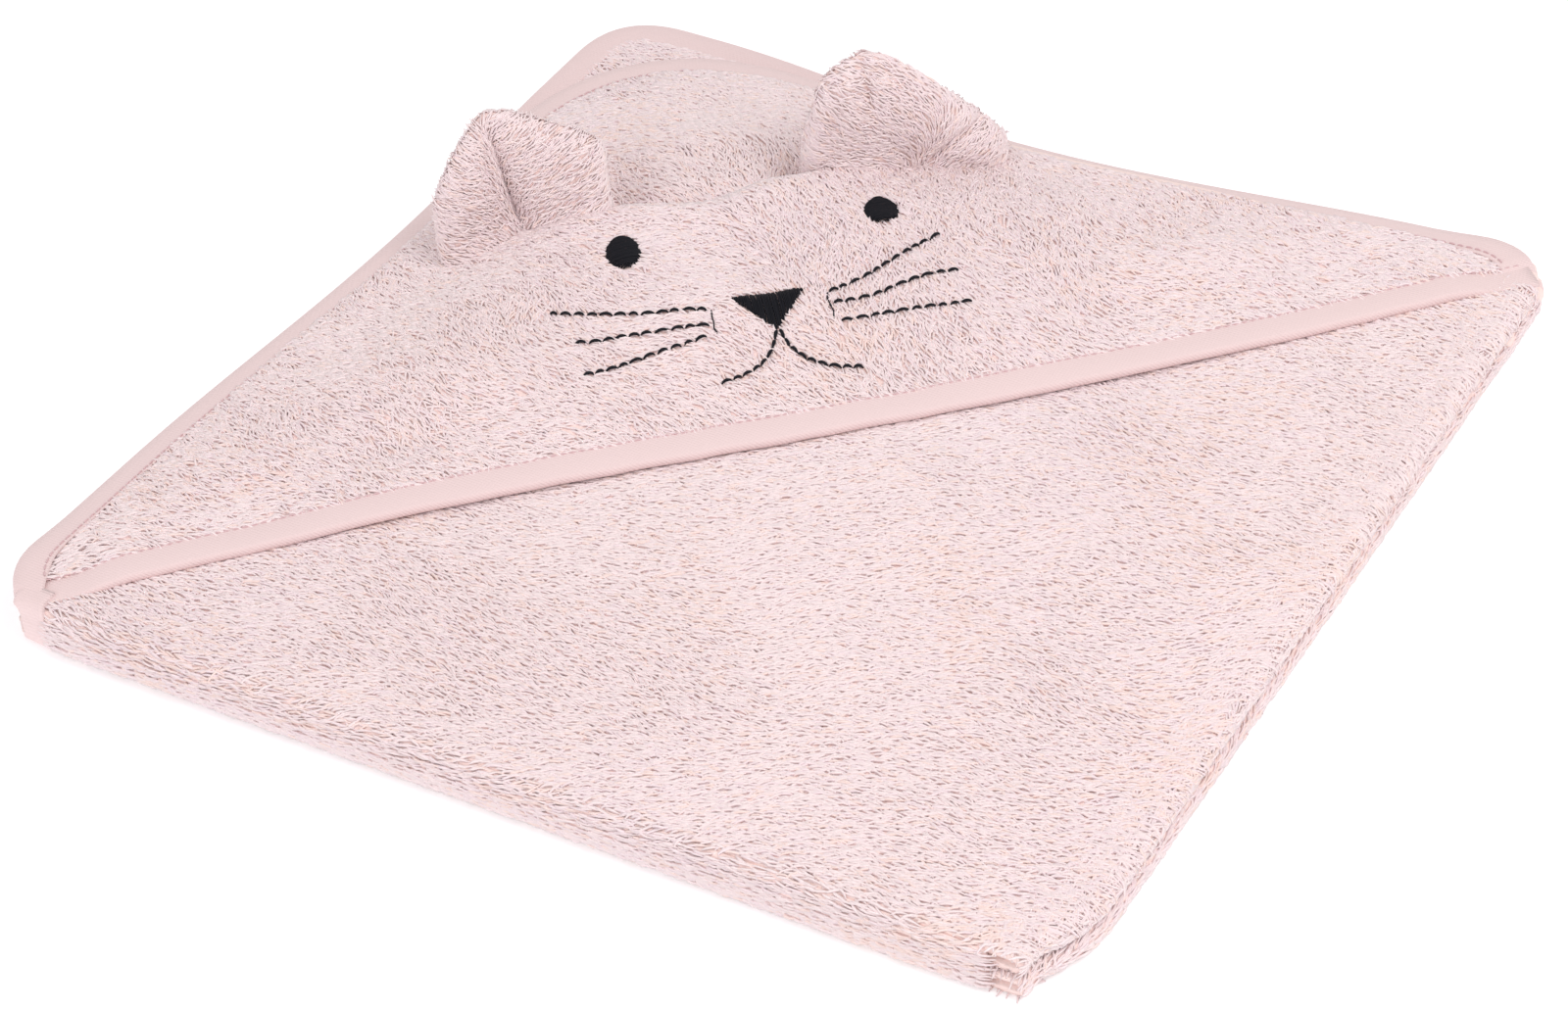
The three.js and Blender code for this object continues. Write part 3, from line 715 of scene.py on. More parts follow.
HOOD_END = 248.0
HOOD_COLUMNS, HOOD_ROWS = 150, 70
hood_x = np.linspace(-HOOD_END, HOOD_END, HOOD_COLUMNS)
hood_start = front_line(hood_x) + 2.0
hood_stop = np.maximum(back_line(hood_x, 4.0), hood_start + 2)
share = np.linspace(0, 1, HOOD_ROWS)[:, None]
hood_px = np.broadcast_to(hood_x, (HOOD_ROWS, HOOD_COLUMNS))
hood_py = hood_start * (1 - share) + hood_stop * share
hood_pz = hood_height(hood_px, hood_py) - TERRY / 2
hood_grid = np.stack([hood_px, hood_py, hood_pz], -1)
hood_half = CLOTH / 2 - 0.75 * smoothstep((np.abs(hood_px) - 218) / 14)
hood_cloth = closed_sheet("hood_cloth", hood_grid[::-1], hood_half[::-1], GROUND_PAINTED_SHADE, "upper_pair")
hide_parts("hood_panel")

# ------------------------------------------------------------------ binding tape


def tape_profile(below, above, width=TAPE_WIDTH, wall=TAPE_WALL):
    """The folded tape's section: out to its crease at 0, and up."""
    low, high = -below - wall, above + wall
    crease = []
    for angle in np.linspace(-np.pi / 2, np.pi / 2, 7):
        middle, reach = (low + high) / 2, (high - low) / 2
        crease.append((-1.2 + 1.2 * math.cos(angle), middle + reach * math.sin(angle)))
    outer = [(-width, low + 0.25), (-width + 1.5, low), (-width / 2, low - 0.15)] + crease
    outer += [(-width / 2, high + 0.15), (-width + 1.5, high), (-width, high - 0.25)]
    inner = [(-width, above), (-1.2, above), (-1.2, -below), (-width, -below)]
    return outer + inner


def sweep(name, stations, material, body=None):
    """A section carried along stations of (origin, across, over, section), with closed ends."""
    points = []
    for origin, across, over, section in stations:
        section = np.array(section)
        points.append(origin + section[:, :1] * across + section[:, 1:] * over)
    points = np.array(points)
    ends = [np.broadcast_to(points[k].mean(0), points[k].shape)[None] for k in (0, -1)]
    points = np.concatenate([ends[0], points, ends[1]])
    rows, columns = points.shape[:2]
    faces = grid_faces(rows, columns, True)
    return mesh_object(name, points.reshape(-1, 3), faces, material, body)


def out3(normal):
    """A direction in the square's axes, in space."""
    x, y = (normal[0] - normal[1]) / ROOT2, (normal[0] + normal[1]) / ROOT2
    return np.array([x, y, 0.0])


def plan3(point, z):
    x, y = to_plan(point[0], point[1])
    return np.array([x, y, z])


def hood_room(run):
    """How much higher the tape stands where it also holds the hood."""
    t = np.minimum(run[:, 0], run[:, 1]) - PAIR_START
    return CORNER_ROOM + (2.3 - CORNER_ROOM) * smoothstep(t / 20)


UP = np.array([0.0, 0.0, 1.0])
CORNER_ROOM = 1.3
TAPE_SLOT = 1.2


def leaning(point, n, along):
    """A tape's crease, outward and inward directions where the bound edge leans down."""
    tilt = EDGE_TILT * float(tilt_share(along))
    across = n * math.cos(tilt) - UP * math.sin(tilt)
    return point + (across - n) * TAPE_WIDTH, across, -UP * math.cos(tilt) - n * math.sin(tilt)


def overlap(station, ahead, up):
    """One more station, past the tape's start and a little way round the second fold."""
    origin, across, over, section = station
    return origin - out3(ahead) * 3 + UP * up, across, over, section


def pair_tape(name, line, middle, hooded, body):
    run = bound_run(line)
    normal = -side_normals(run)
    ahead = unit(np.gradient(run, axis=0))
    square = smoothstep((run[:, :1] - PAIR_START) / 16)
    normal = unit(normal * square + np.array([0.0, 1.0]) * (1 - square))
    stations = []
    for point, n in zip(run, normal):
        stations.append((plan3(point, middle - LAYER_OFF), out3(n), UP, tape_profile(1.2, 1.2)))
    tip, direction, n = run[-1], ahead[-1], normal[-1]
    centre = tip + direction * 1.5
    for angle in np.linspace(0, np.pi, 9)[1:-1]:
        spot = centre + direction * LAYER_OFF * math.sin(angle)
        origin = plan3(spot, middle - LAYER_OFF * math.cos(angle))
        over = -out3(direction) * math.sin(angle) + UP * math.cos(angle)
        stations.append((origin, out3(n), over, tape_profile(1.2, 1.2)))
    room = hood_room(run) if hooded else np.zeros(len(run))
    for point, n, extra in list(zip(run, normal, room))[::-1]:
        origin, across, over = plan3(point, middle + LAYER_OFF), out3(n), -UP
        if hooded:
            origin, across, over = leaning(origin, across, min(point) - PAIR_START)
        stations.append((origin, across, over, tape_profile(TAPE_SLOT + extra, TAPE_SLOT)))
    if hooded:
        stations.append(overlap(stations[-1], ahead[0], -0.8))
    else:
        stations.insert(0, overlap(stations[0], ahead[0], 0.8))
    return sweep(name, stations, TAPE, body)


lower_tape = pair_tape("tape_lower_pair", LOWER_LINE, LOWER_MIDDLE, False, "lower_pair")
upper_tape = pair_tape("tape_upper_pair", UPPER_LINE, UPPER_MIDDLE, True, "upper_pair")
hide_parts("binding_lower_pair")
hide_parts("binding_upper_pair")


def fold_tape(name, radius, node):
    """The tape round one turn of the second fold at the left corner."""
    share = np.linspace(0, 1, 15)[None, :]
    angle = np.concatenate([[0, 0], np.linspace(0, np.pi, 19), [np.pi, np.pi]])[:, None]
    onto_flat = np.concatenate([[5, 2.5], np.zeros(19), [2.5, 5]])[:, None]
    b = FOLD_TOP_B - 2.5 * np.sin(angle) - TAPE_WIDTH * (1 - share)
    grid = fold_point(radius, *np.broadcast_arrays(b, angle))
    grid[..., :2] += onto_flat[..., None] / ROOT2
    half = TAPE_SLOT + TAPE_WALL - 0.05 - 0.25 * (share < 0.05)
    half = half - 0.9 * (share > 0.99) - 0.35 * (share > 0.92)
    if radius > TERRY:
        half = half + CORNER_ROOM * smoothstep((angle - 2.1) / 0.9)
    made = closed_sheet(name, grid, half, TAPE)
    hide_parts(node)
    return bend(made)


outer_tape = fold_tape("tape_outer_turn", OUTER_TURN, "binding_outer_turn")
inner_tape = fold_tape("tape_inner_turn", INNER_TURN, "binding_inner_turn")


def lip_stations(rise=0.0, section=None):
    stations = []
    xs = np.arange(-HOOD_END, HOOD_END + 0.1, 4.0)
    for x in xs:
        def middle(x, inset):
            y = float(front_line(x)) + inset
            return np.array([x, y, float(hood_height(x, y)) - TERRY / 2 - 0.2])
        along = unit(middle(x - 2, 0) - middle(x + 2, 0))
        across = unit(middle(x, 0) - middle(x, 13))
        over = unit(np.cross(along, across))
        slot = 1.1 - 0.6 * float(smoothstep((abs(x) - 222) / 14))
        stations.append((middle(x, 0) + over * rise, across, over, section or tape_profile(slot, slot)))
    return stations


hood_tape = sweep("hood_tape", lip_stations()[::-1], TAPE, "upper_pair")
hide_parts("hood_binding")

# ------------------------------------------------------------------ stitches along the tapes


def stitch_row(name, line, node):
    """Short pink stitches one after another along a line, each bowed a little upwards."""
    line = resample(np.asarray(line), SEAM_STEP)
    steps = int(STITCH_LENGTH / SEAM_STEP)
    parts = []
    for start in range(0, len(line) - steps - 1, int(STITCH_PITCH / SEAM_STEP)):
        run = line[start : start + steps + 1]
        bow = np.sin(np.linspace(0, np.pi, len(run)))
        run = run + UP * (STITCH_BOW * bow[:, None] - STITCH_SINK)
        parts.append(tube(run[:: max(1, steps // 4)], STITCH_RADIUS, 5))
    made = mesh_object(name, *gather(parts), PINK_THREAD, "upper_pair")
    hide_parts(node)
    return made


run = bound_run(UPPER_LINE)
inner_run = run + side_normals(run) * STITCH_INSET
heights = UPPER_MIDDLE + LAYER_OFF + TAPE_SLOT + hood_room(run) + TAPE_WALL + 0.35
leaning_by = edge_dip(STITCH_INSET, np.minimum(run[:, 0], run[:, 1]) - PAIR_START)
stitch_line = np.array([plan3(p, z) for p, z in zip(inner_run, heights - leaning_by)])
perimeter_stitches = stitch_row("stitches_perimeter", stitch_line, "stitching_perimeter")
lip_line = []
for origin, across, over, section in lip_stations():
    lip_line.append(origin - across * STITCH_INSET + over * (1.1 + TAPE_WALL + 0.05))
hood_stitches = stitch_row("stitches_hood_edge", lip_line, "stitching_hood_edge")

# ------------------------------------------------------------------ the ears

EAR_ROWS, EAR_COLUMNS = 40, 60

# Each ear's outline as heights along its width, from its left end to its right, and its hollows:
# where each starts at the base, where it ends at the top, how deep and how wide it is, and how
# it fades from base to top.
EAR_SHAPES = {
    "left": {
        "shift": 1.0,
        "half": 29.0,
        "at": [-1.0, -0.94, -0.70, -0.47, -0.27, -0.04, 0.24, 0.43, 0.74, 0.94, 1.0],
        "high": [0.22, 0.50, 0.76, 0.94, 1.03, 1.03, 0.94, 0.88, 0.81, 0.72, 0.55],
        "cup": 10.0,
        "pillow": 3.0,
        "hollows": [(-0.02, -0.30, 13.0, 0.15, (0.9, 1.0, 0.8, 0.25))],
    },
    "right": {
        "shift": 3.5,
        "half": 34.5,
        "at": [-1.0, -0.93, -0.85, -0.78, -0.68, -0.54, -0.3, -0.16, 0.05, 0.26, 0.53, 0.8, 1.0],
        "high": [0.20, 0.44, 0.62, 0.78, 0.88, 0.95, 0.99, 0.97, 0.84, 0.70, 0.50, 0.27, 0.08],
        "cup": 5.0,
        "pillow": 7.0,
        "hollows": [
            (0.16, 0.80, 9.0, 0.07, (0.6, 1.0, 1.0, 0.5)),
            (-0.30, -0.36, 4.5, 0.10, (0.0, 0.0, 0.9, 0.7)),
            (-0.80, -0.62, 3.0, 0.12, (0.8, 0.6, 0.2, 0.0)),
        ],
    },
}
EAR_SKIRT = 6.0  # how far the ear's foot spreads into the hood
EAR_SKIRT_HEIGHT = 0.26


def ear_frame(side):
    """The ear's foot, the way along it to its right, and the way forward."""
    joint = next(j for j in frame["joints"] if j["name"] == f"ear_{side}_flop")
    foot = np.array(joint["pos_m"]) / MM
    along = -np.array(joint["axis"])
    return foot, along, np.array([along[1], -along[0], 0.0])


def ear_hollow(side, u, v):
    """How far the ear's front is pushed back at each place."""
    total = np.zeros(np.broadcast(u, v).shape)
    for low, top, depth, width, fade in EAR_SHAPES[side]["hollows"]:
        middle = low + (top - low) * v
        strength = np.interp(v, [0, 0.35, 0.7, 1], fade)
        total = total + depth * strength * np.exp(-(((u - middle) / width) ** 2))
    return total


def ear_surface(side):
    """The middle surface of an ear as a grid, from its base up."""
    shape = EAR_SHAPES[side]
    foot, along, forward = ear_frame(side)
    height = low_high(f"ear_{side}_back", f"ear_{side}_front")[1][2] - foot[2]
    u = np.linspace(-1, 1, EAR_COLUMNS)[None, :]
    v = np.linspace(0, 1, EAR_ROWS)[:, None]
    s = u * shape["half"] + shape["shift"] + 0 * v
    top = np.interp(u, shape["at"], shape["high"])
    cup = shape["cup"] * np.abs(u) ** 1.6 * (1 - 0.35 * v)
    pillow = shape["pillow"] * (1 - u**4) * np.sin(np.pi * np.clip(v * 0.9, 0, 1)) ** 0.8
    reach = cup + pillow - 0.6 * ear_hollow(side, u, v)
    spot = np.array([foot[0], foot[1], 0.0]) + s[..., None] * along + reach[..., None] * forward
    ground = hood_height(spot[..., 0], spot[..., 1]) - 1.5
    tip = foot[2] + (height - 2) * top
    z = ground + (np.maximum(tip, ground + 2) - ground) * v
    return np.stack([spot[..., 0], spot[..., 1], z], -1)


def make_ear(side):
    middle = ear_surface(side)
    v = np.linspace(0, 1, EAR_ROWS)[:, None]
    u = np.linspace(-1, 1, EAR_COLUMNS)[None, :]
    rim = np.minimum((1 - np.abs(u)) / 0.2, (1 - v) / 0.18)
    half = 0.5 + 2.6 * np.sqrt(np.clip(rim, 0, 1))
    half = half + EAR_SKIRT * np.clip(1 - v / EAR_SKIRT_HEIGHT, 0, 1) ** 2 * (1 - u**6)
    made = closed_sheet(f"ear_{side}_cloth", middle, half, GROUND_PAINTED_SHADE, f"ear_{side}")
    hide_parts(f"ear_{side}_back", f"ear_{side}_front")
    return made, middle, half


ear_left, ear_left_grid, ear_left_half = make_ear("left")
ear_right, ear_right_grid, ear_right_half = make_ear("right")

# ------------------------------------------------------------------ the terry's loops


def loop_tubes(roots, normals, directions, rng, size=1.0, height=1.0, sides=3, steps=4):
    """Arched loops that lie over along their directions, each a little different."""
    count = len(roots)
    across = unit(np.cross(normals, directions))
    ahead = np.cross(across, normals)
    length = LOOP_LENGTH * size * rng.uniform(0.75, 1.25, count)
    width = LOOP_WIDTH * size * rng.uniform(0.8, 1.2, count)
    rise = LOOP_HEIGHT * height * rng.uniform(0.7, 1.3, count)
    sway = rng.normal(0, 0.35, count) * size
    share = np.linspace(0, 1, steps + 1)
    s = (share - 0.45)[None, :] * length[:, None]
    lift = np.sin(np.pi * share**0.8)[None, :] * rise[:, None] - 0.35
    side = np.sin(np.pi * share)[None, :] * sway[:, None]
    path = (
        roots[:, None]
        + ahead[:, None] * s[..., None]
        + normals[:, None] * lift[..., None]
        + across[:, None] * side[..., None]
    )
    tangent = unit(np.gradient(path, axis=1))
    out = unit(np.cross(tangent, across[:, None]) * -1)
    beside = np.cross(out, tangent)
    taper = np.interp(share, [0, 0.25, 0.6, 1], [0.55, 1.0, 0.95, 0.4])
    radius = width[:, None] / 2 * taper[None, :]
    turn = 2 * np.pi * (np.arange(sides) + 0.25) / sides
    ring = (
        path[:, :, None]
        + out[:, :, None] * (np.sin(turn)[None, None, :, None] * radius[..., None, None])
        + beside[:, :, None] * (np.cos(turn)[None, None, :, None] * radius[..., None, None])
    )
    points = ring.reshape(-1, 3)
    single = grid_faces(steps + 1, sides, True)
    faces = (single[None] + (np.arange(count) * (steps + 1) * sides)[:, None, None]).reshape(-1, 4)
    return points, faces


def scatter(grid, pitch, rng):
    """Roots spread evenly over a grid of points, with the grid's normals there."""
    rows, columns = grid.shape[:2]
    normal = grid_normals(grid)
    across = np.linalg.norm(np.diff(grid, axis=1), axis=2).sum(1).max()
    down = np.linalg.norm(np.diff(grid, axis=0), axis=2).sum(0).max()
    nu, nv = int(across / pitch) + 1, int(down / pitch) + 1
    i, j = np.meshgrid(np.arange(nv), np.arange(nu), indexing="ij")
    v = (i + rng.uniform(0, 1, i.shape)) / nv * (rows - 1)
    u = (j + 0.5 * (i % 2) + rng.uniform(0, 1, i.shape) * 0.9) / nu * (columns - 1)
    v, u = v.ravel(), np.clip(u.ravel(), 0, columns - 1.001)
    i, j = v.astype(int), u.astype(int)
    i, j = np.clip(i, 0, rows - 2), np.clip(j, 0, columns - 2)
    v, u = (v - i)[:, None], (u - j)[:, None]

    def at(values):
        low = values[i, j] * (1 - u) + values[i, j + 1] * u
        high = values[i + 1, j] * (1 - u) + values[i + 1, j + 1] * u
        return low * (1 - v) + high * v

    wide = np.linalg.norm(grid[i, j + 1] - grid[i, j], axis=1)
    tall = np.linalg.norm(grid[i + 1, j] - grid[i, j], axis=1)
    share = (wide * tall) / ((across / (columns - 1)) * (down / (rows - 1)))
    keep = rng.uniform(0, 1, len(share)) < share
    return at(grid)[keep], unit(at(normal))[keep]


def lay_directions(roots, normals, rng, base, swing=35, jitter=16, seed=71):
    """The way the loops lie: a slow swirl with a little disorder."""
    angle = np.radians(base) + np.radians(swing) * drift(roots[:, 0], roots[:, 1], 55, seed)
    angle += np.radians(swing * 0.5) * drift(roots[:, 0], roots[:, 1], 22, seed + 1)
    angle += np.radians(rng.normal(0, jitter, len(roots)))
    flat = np.stack([np.cos(angle), np.sin(angle), np.zeros(len(roots))], -1)
    flat -= normals * (flat * normals).sum(1, keepdims=True)
    return unit(flat)


def loop_tints(roots, rng):
    """Most loops are pale, some cooler and some warmer, more so in patches."""
    cool = 0.24 + 0.22 * drift(roots[:, 0] + roots[:, 2], roots[:, 1], 60, 101)
    warm = 0.10 + 0.55 * np.clip(drift(roots[:, 0], roots[:, 1] + roots[:, 2], 38, 102) - 0.3, 0, 1)
    draw = rng.uniform(0, 1, len(roots))
    return np.where(draw < cool, 1, np.where(draw > 1 - warm, 2, 0))


def loop_pieces(name, roots, normals, directions, body, rng, **shape):
    """Loops in one or more pieces."""
    pieces = []
    tints = loop_tints(roots, rng)
    parts = max(1, math.ceil(len(roots) / LOOPS_PER_PIECE))
    for k in range(parts):
        cut = slice(k * len(roots) // parts, (k + 1) * len(roots) // parts)
        points, faces = loop_tubes(roots[cut], normals[cut], directions[cut], rng, **shape)
        slots = np.repeat(tints[cut], len(faces) // len(roots[cut]))
        label = f"{name}_{k + 1}" if parts > 1 else name
        pieces.append(mesh_object(label, points, faces, LOOPS, body, slots))
    return pieces


def near_segments(roots, segments, clear):
    """Whether each root lies within a distance of any of some plan lines."""
    hidden = np.zeros(len(roots), bool)
    for (x0, y0), (x1, y1) in segments:
        d = np.array([x1 - x0, y1 - y0])
        t = np.clip(((roots[:, :2] - (x0, y0)) @ d) / (d @ d), 0, 1)
        gap = np.linalg.norm(roots[:, :2] - (np.array([x0, y0]) + t[:, None] * d), axis=1)
        hidden |= gap < clear
    return hidden


# ------------------------------------------------------------------ the embroidered face

FACE_TILT = math.radians(-3)
face_right = np.array([math.cos(FACE_TILT), math.sin(FACE_TILT)])
face_up = np.array([-math.sin(FACE_TILT), math.cos(FACE_TILT)])


def on_hood(xy, rise=0.0):
    xy = np.atleast_2d(xy)
    return np.concatenate([xy, (hood_height(xy[:, 0], xy[:, 1]) + rise)[:, None]], 1)


def node_plan(node):
    low, high = low_high(node)
    return (low + high)[:2] / 2, (high - low)[:2]


def satin(name, rows, node, rng, radius=0.30, puff=0.9):
    """Satin stitch: threads side by side, each from one end to the other over a low pad."""
    parts = []
    for start, end in rows:
        start = np.asarray(start) + rng.normal(0, 0.12, 2)
        end = np.asarray(end) + rng.normal(0, 0.12, 2)
        length = np.linalg.norm(end - start)
        if length < 0.4:
            continue
        t = np.linspace(0, 1, 9)
        xy = start + (end - start) * t[:, None]
        bulge = (puff + 0.5) * np.sin(np.pi * t) ** 0.45 * min(1, length / 5)
        rise = -0.4 + bulge + rng.normal(0, 0.05)
        parts.append(tube(on_hood(xy, rise), radius, 5))
    made = mesh_object(name, *gather(parts), BLACK_THREAD, "upper_pair")
    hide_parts(node)
    return made


def make_eye(side, rng):
    centre, size = node_plan(f"eye_{side}")
    rows = []
    half_x, half_y = size / 2
    for y in np.arange(-half_y + 0.15, half_y, 0.46):
        reach = half_x * math.sqrt(max(1 - (y / half_y) ** 2, 0.02))
        middle = centre + face_up * y
        rows.append((middle - face_right * reach, middle + face_right * reach))
    made = satin(f"eye_{side}_satin", rows, f"eye_{side}", rng)
    return made, centre, size


eye_left = make_eye("left", seeded(41))
eye_right = make_eye("right", seeded(42))


def make_nose(rng):
    centre, size = node_plan("nose")
    width, height = size
    rows = []
    top = centre + face_up * (height / 2 - 0.6)
    for x in np.arange(-width / 2 + 0.4, width / 2 - 0.3, 0.46):
        depth = (height - 0.5) * (1 - abs(x) / (width / 2)) ** 0.9
        start = top + face_right * x - face_up * 0.6 * (1 - abs(x) / (width / 2))
        rows.append((start, start - face_up * max(depth, 0.8)))
    return satin("nose_satin", rows, "nose", rng), top, size


nose = make_nose(seeded(43))


def running(name, line, node, rng, length=4.0, gap=0.9, radius=0.62):
    """Plump stitches one after another."""
    line = resample(np.asarray(line, float), 0.5)
    parts = []
    k = 0
    while k < len(line) - 3:
        steps = int((length * rng.uniform(0.8, 1.2)) / 0.5)
        run = line[k : min(k + steps + 1, len(line))]
        if len(run) > 3:
            t = np.linspace(0, 1, len(run))
            middle = run.mean(0)
            turn = rng.normal(0, 0.06)
            spin = np.array([[math.cos(turn), -math.sin(turn)], [math.sin(turn), math.cos(turn)]])
            run = middle + (run - middle) @ spin.T
            rise = -0.55 + 1.15 * np.sin(np.pi * t) ** 0.6
            thick = radius * (0.45 + 0.55 * np.sin(np.pi * t) ** 0.5)
            parts.append(tube(on_hood(run, rise), thick, 7, 0.8))
        k += steps + max(1, int(gap * rng.uniform(0.7, 1.3) / 0.5))
    made = mesh_object(name, *gather(parts), BLACK_THREAD, "upper_pair")
    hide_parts(node)
    return made


def node_line(node, steps=14):
    """The plan centre line of a line node, from its points."""
    points = node_points(node)[:, :2]
    middle = points.mean(0)
    along = np.linalg.svd(points - middle)[2][0]
    t = (points - middle) @ along
    order = np.argsort(t)
    groups = np.array_split(points[order], steps)
    line = np.array([g.mean(0) for g in groups])
    first, last = points[order][:2].mean(0), points[order][-2:].mean(0)
    return np.concatenate([[first], line[1:-1], [last]])


face_lines = []
rng = seeded(44)
for side in ("left", "right"):
    for row in (1, 2, 3):
        node = f"whisker_{side}_{row}"
        line = node_line(node, 7)
        if node == "whisker_left_1":
            outer = np.argmin(line[:, 0])
            line[outer] += unit(line[outer] - line.mean(0)) * 6
        line = at_share(line, np.linspace(0, 1, 12))
        wobble = 0.25 * np.sin(np.linspace(0, 9, 12) + row)
        line[:, 1] += wobble
        face_lines.append(line)
        running(f"{node}_stitches", line, node, rng)
    node = f"whisker_join_{side}"
    line = node_line(node, 5)
    made = mesh_object(f"{node}_thread", *tube(on_hood(line, 0.2), 0.26, 5), BLACK_THREAD, "upper_pair")
    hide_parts(node)
for side in ("left", "right"):
    node = f"mouth_{side}"
    points = node_points(node)[:, :2]
    line = points[np.argsort(points[:, 1] - 0.9 * np.abs(points[:, 0] - nose[1][0]))]
    groups = np.array_split(line, 9)
    line = np.array([g.mean(0) for g in groups])
    under_nose = nose[1] - face_up * (nose[2][1] + 0.6)
    high = np.argmax(line[:, 1])
    line = line if high == 0 else line[::-1]
    first = under_nose + face_right * (0.5 if side == "right" else -0.5)
    line = np.concatenate([[first, first * 0.5 + line[0] * 0.5], line])
    face_lines.append(line)
    running(f"{node}_stitches", line, node, rng, 3.6, 0.8)

# ------------------------------------------------------------------ loops on every face of the terry

rng = seeded(51)


def off_tape(roots, line, cover=TAPE_WIDTH - 1.2):
    """Whether each root lies further in from the bound edge than the tape."""
    run = resample(bound_run(line), 4.0)
    a, b = to_square(roots[:, 0], roots[:, 1])
    spot = np.stack([a, b], -1)
    inside = np.ones(len(roots), bool)
    for k in range(0, len(spot), 4000):
        gap = np.linalg.norm(spot[k : k + 4000, None] - run[None], axis=2).min(1)
        inside[k : k + 4000] = gap > cover
    return inside


def face_segments():
    found = []
    for line in face_lines:
        found += list(zip(line[:-1], line[1:]))
    return found


def grow(name, roots, normals, keep, body, rng, lay, **shape):
    """Loops on the kept roots, standing on the face of the cloth."""
    roots, normals = roots[keep], normals[keep]
    roots = roots + normals * (CLOTH / 2)
    directions = lay_directions(roots, normals, rng, *lay)
    return loop_pieces(name, roots, normals, directions, body, rng, **shape)


def facing_up(normals):
    return normals * np.sign(normals[:, 2:] + 1e-3)


def pile_on_upper():
    """The top layer, up to the hood's tape."""
    roots, normals = scatter(upper_grid[upper_parts[0] :], LOOP_PITCH, rng)
    normals = facing_up(normals)
    under_hood = 14 - 13.5 * smoothstep((np.abs(roots[:, 0]) - 200) / 15)
    shows = roots[:, 1] < front_line(roots[:, 0]) + under_hood
    shows &= off_tape(roots, UPPER_LINE)
    return grow("loops_upper_top", roots, normals, shows, "upper_pair", rng, (-28, 30))


upper_loops = pile_on_upper()


def pile_on_hood():
    """The hood, between its tape, the perimeter tape and the embroidery."""
    roots, normals = scatter(hood_grid, LOOP_PITCH, rng)
    normals = normals * np.sign(normals[:, 2:])
    clear = roots[:, 1] > front_line(roots[:, 0]) + TAPE_WIDTH - 1.5
    clear &= off_tape(roots, UPPER_LINE)
    for centre, size in ((eye_left[1], eye_left[2]), (eye_right[1], eye_right[2])):
        d = (roots[:, :2] - centre) / (size / 2 + 0.2)
        clear &= (d**2).sum(1) > 1
    top, size = nose[1], nose[2]
    local = (roots[:, :2] - top) @ np.stack([face_right, face_up], -1)
    depth = -local[:, 1]
    inside = (depth > -0.6) & (np.abs(local[:, 0]) < size[0] / 2 * (1 - depth / size[1]) + 0.4)
    clear &= ~inside
    clear &= ~near_segments(roots, face_segments(), 0.55)
    return grow("loops_hood", roots, normals, clear, "upper_pair", rng, (-50, 45, 20, 81))


hood_loops = pile_on_hood()


def pile_on_fold(name, grid, parts, line, middle, body):
    """The rolled edge of a pair's first fold, but not its tape."""
    roots, normals = scatter(grid[parts[0] - 3 : parts[0] + parts[1] + 3], LOOP_PITCH, rng)
    tip = to_plan(*bound_run(line)[-1])
    terry = np.hypot(roots[:, 0] - tip[0], roots[:, 1] - tip[1]) >= TAPE_WIDTH
    outward = normals[:, 2] * (roots[:, 2] - middle) + normals[:, 0] * 0.7 - normals[:, 1] * 0.7
    normals = normals * np.sign(outward)[:, None]
    return grow(name, roots, normals, terry, body, rng, (-128, 16), height=0.8)


def pile_on_turn():
    """The outer turn of the second fold."""
    roots, normals = scatter(outer_grid, LOOP_PITCH, rng)
    terry = to_square(roots[:, 0], roots[:, 1])[1] <= FOLD_TOP_B - TAPE_WIDTH - 1
    level = (roots[:, 2] - HINGE_Z) / 6
    outward = np.stack([-np.ones(len(roots)), -np.ones(len(roots)), level], -1)
    normals = normals * np.sign((normals * outward).sum(1, keepdims=True))
    pieces = grow("loops_outer_turn", roots, normals, terry, None, rng, (-35, 30))
    for piece in pieces:
        bend(piece)
    return pieces


lower_fold_loops = pile_on_fold(
    "loops_lower_fold", lower_grid, lower_parts, LOWER_LINE, LOWER_MIDDLE, "lower_pair"
)
upper_fold_loops = pile_on_fold(
    "loops_upper_fold", upper_grid, upper_parts, UPPER_LINE, UPPER_MIDDLE, "upper_pair"
)
turn_loops = pile_on_turn()

SHOWING_FROM = 300.0  # past this, the lower pair's back corner shows beside the upper pair's


def pile_inside(name, layer, line, facing, body, number):
    """Sparser, larger loops on a face that lies against another layer or the floor."""
    local = seeded(number)
    roots, normals = scatter(layer, LOOP_PITCH_INSIDE, local)
    normals = facing_up(normals) * facing
    a, b = to_square(roots[:, 0], roots[:, 1])
    clear = off_tape(roots, line, TAPE_WIDTH + 4) & (a > PAIR_START + 5) & (b > 16)
    clear &= ~((facing > 0) & (a > SHOWING_FROM) & (b > SHOWING_FROM))
    return grow(name, roots, normals, clear, body, local, (-28, 30), size=1.5)


def pile_on_corner():
    """Close loops on the lower pair's back corner."""
    local = seeded(55)
    roots, normals = scatter(lower_grid[lower_parts[0] :], LOOP_PITCH, local)
    a, b = to_square(roots[:, 0], roots[:, 1])
    shows = off_tape(roots, LOWER_LINE) & (a > SHOWING_FROM) & (b > SHOWING_FROM)
    normals = facing_up(normals)
    return grow("loops_lower_corner", roots, normals, shows, "lower_pair", local, (-60, 30))


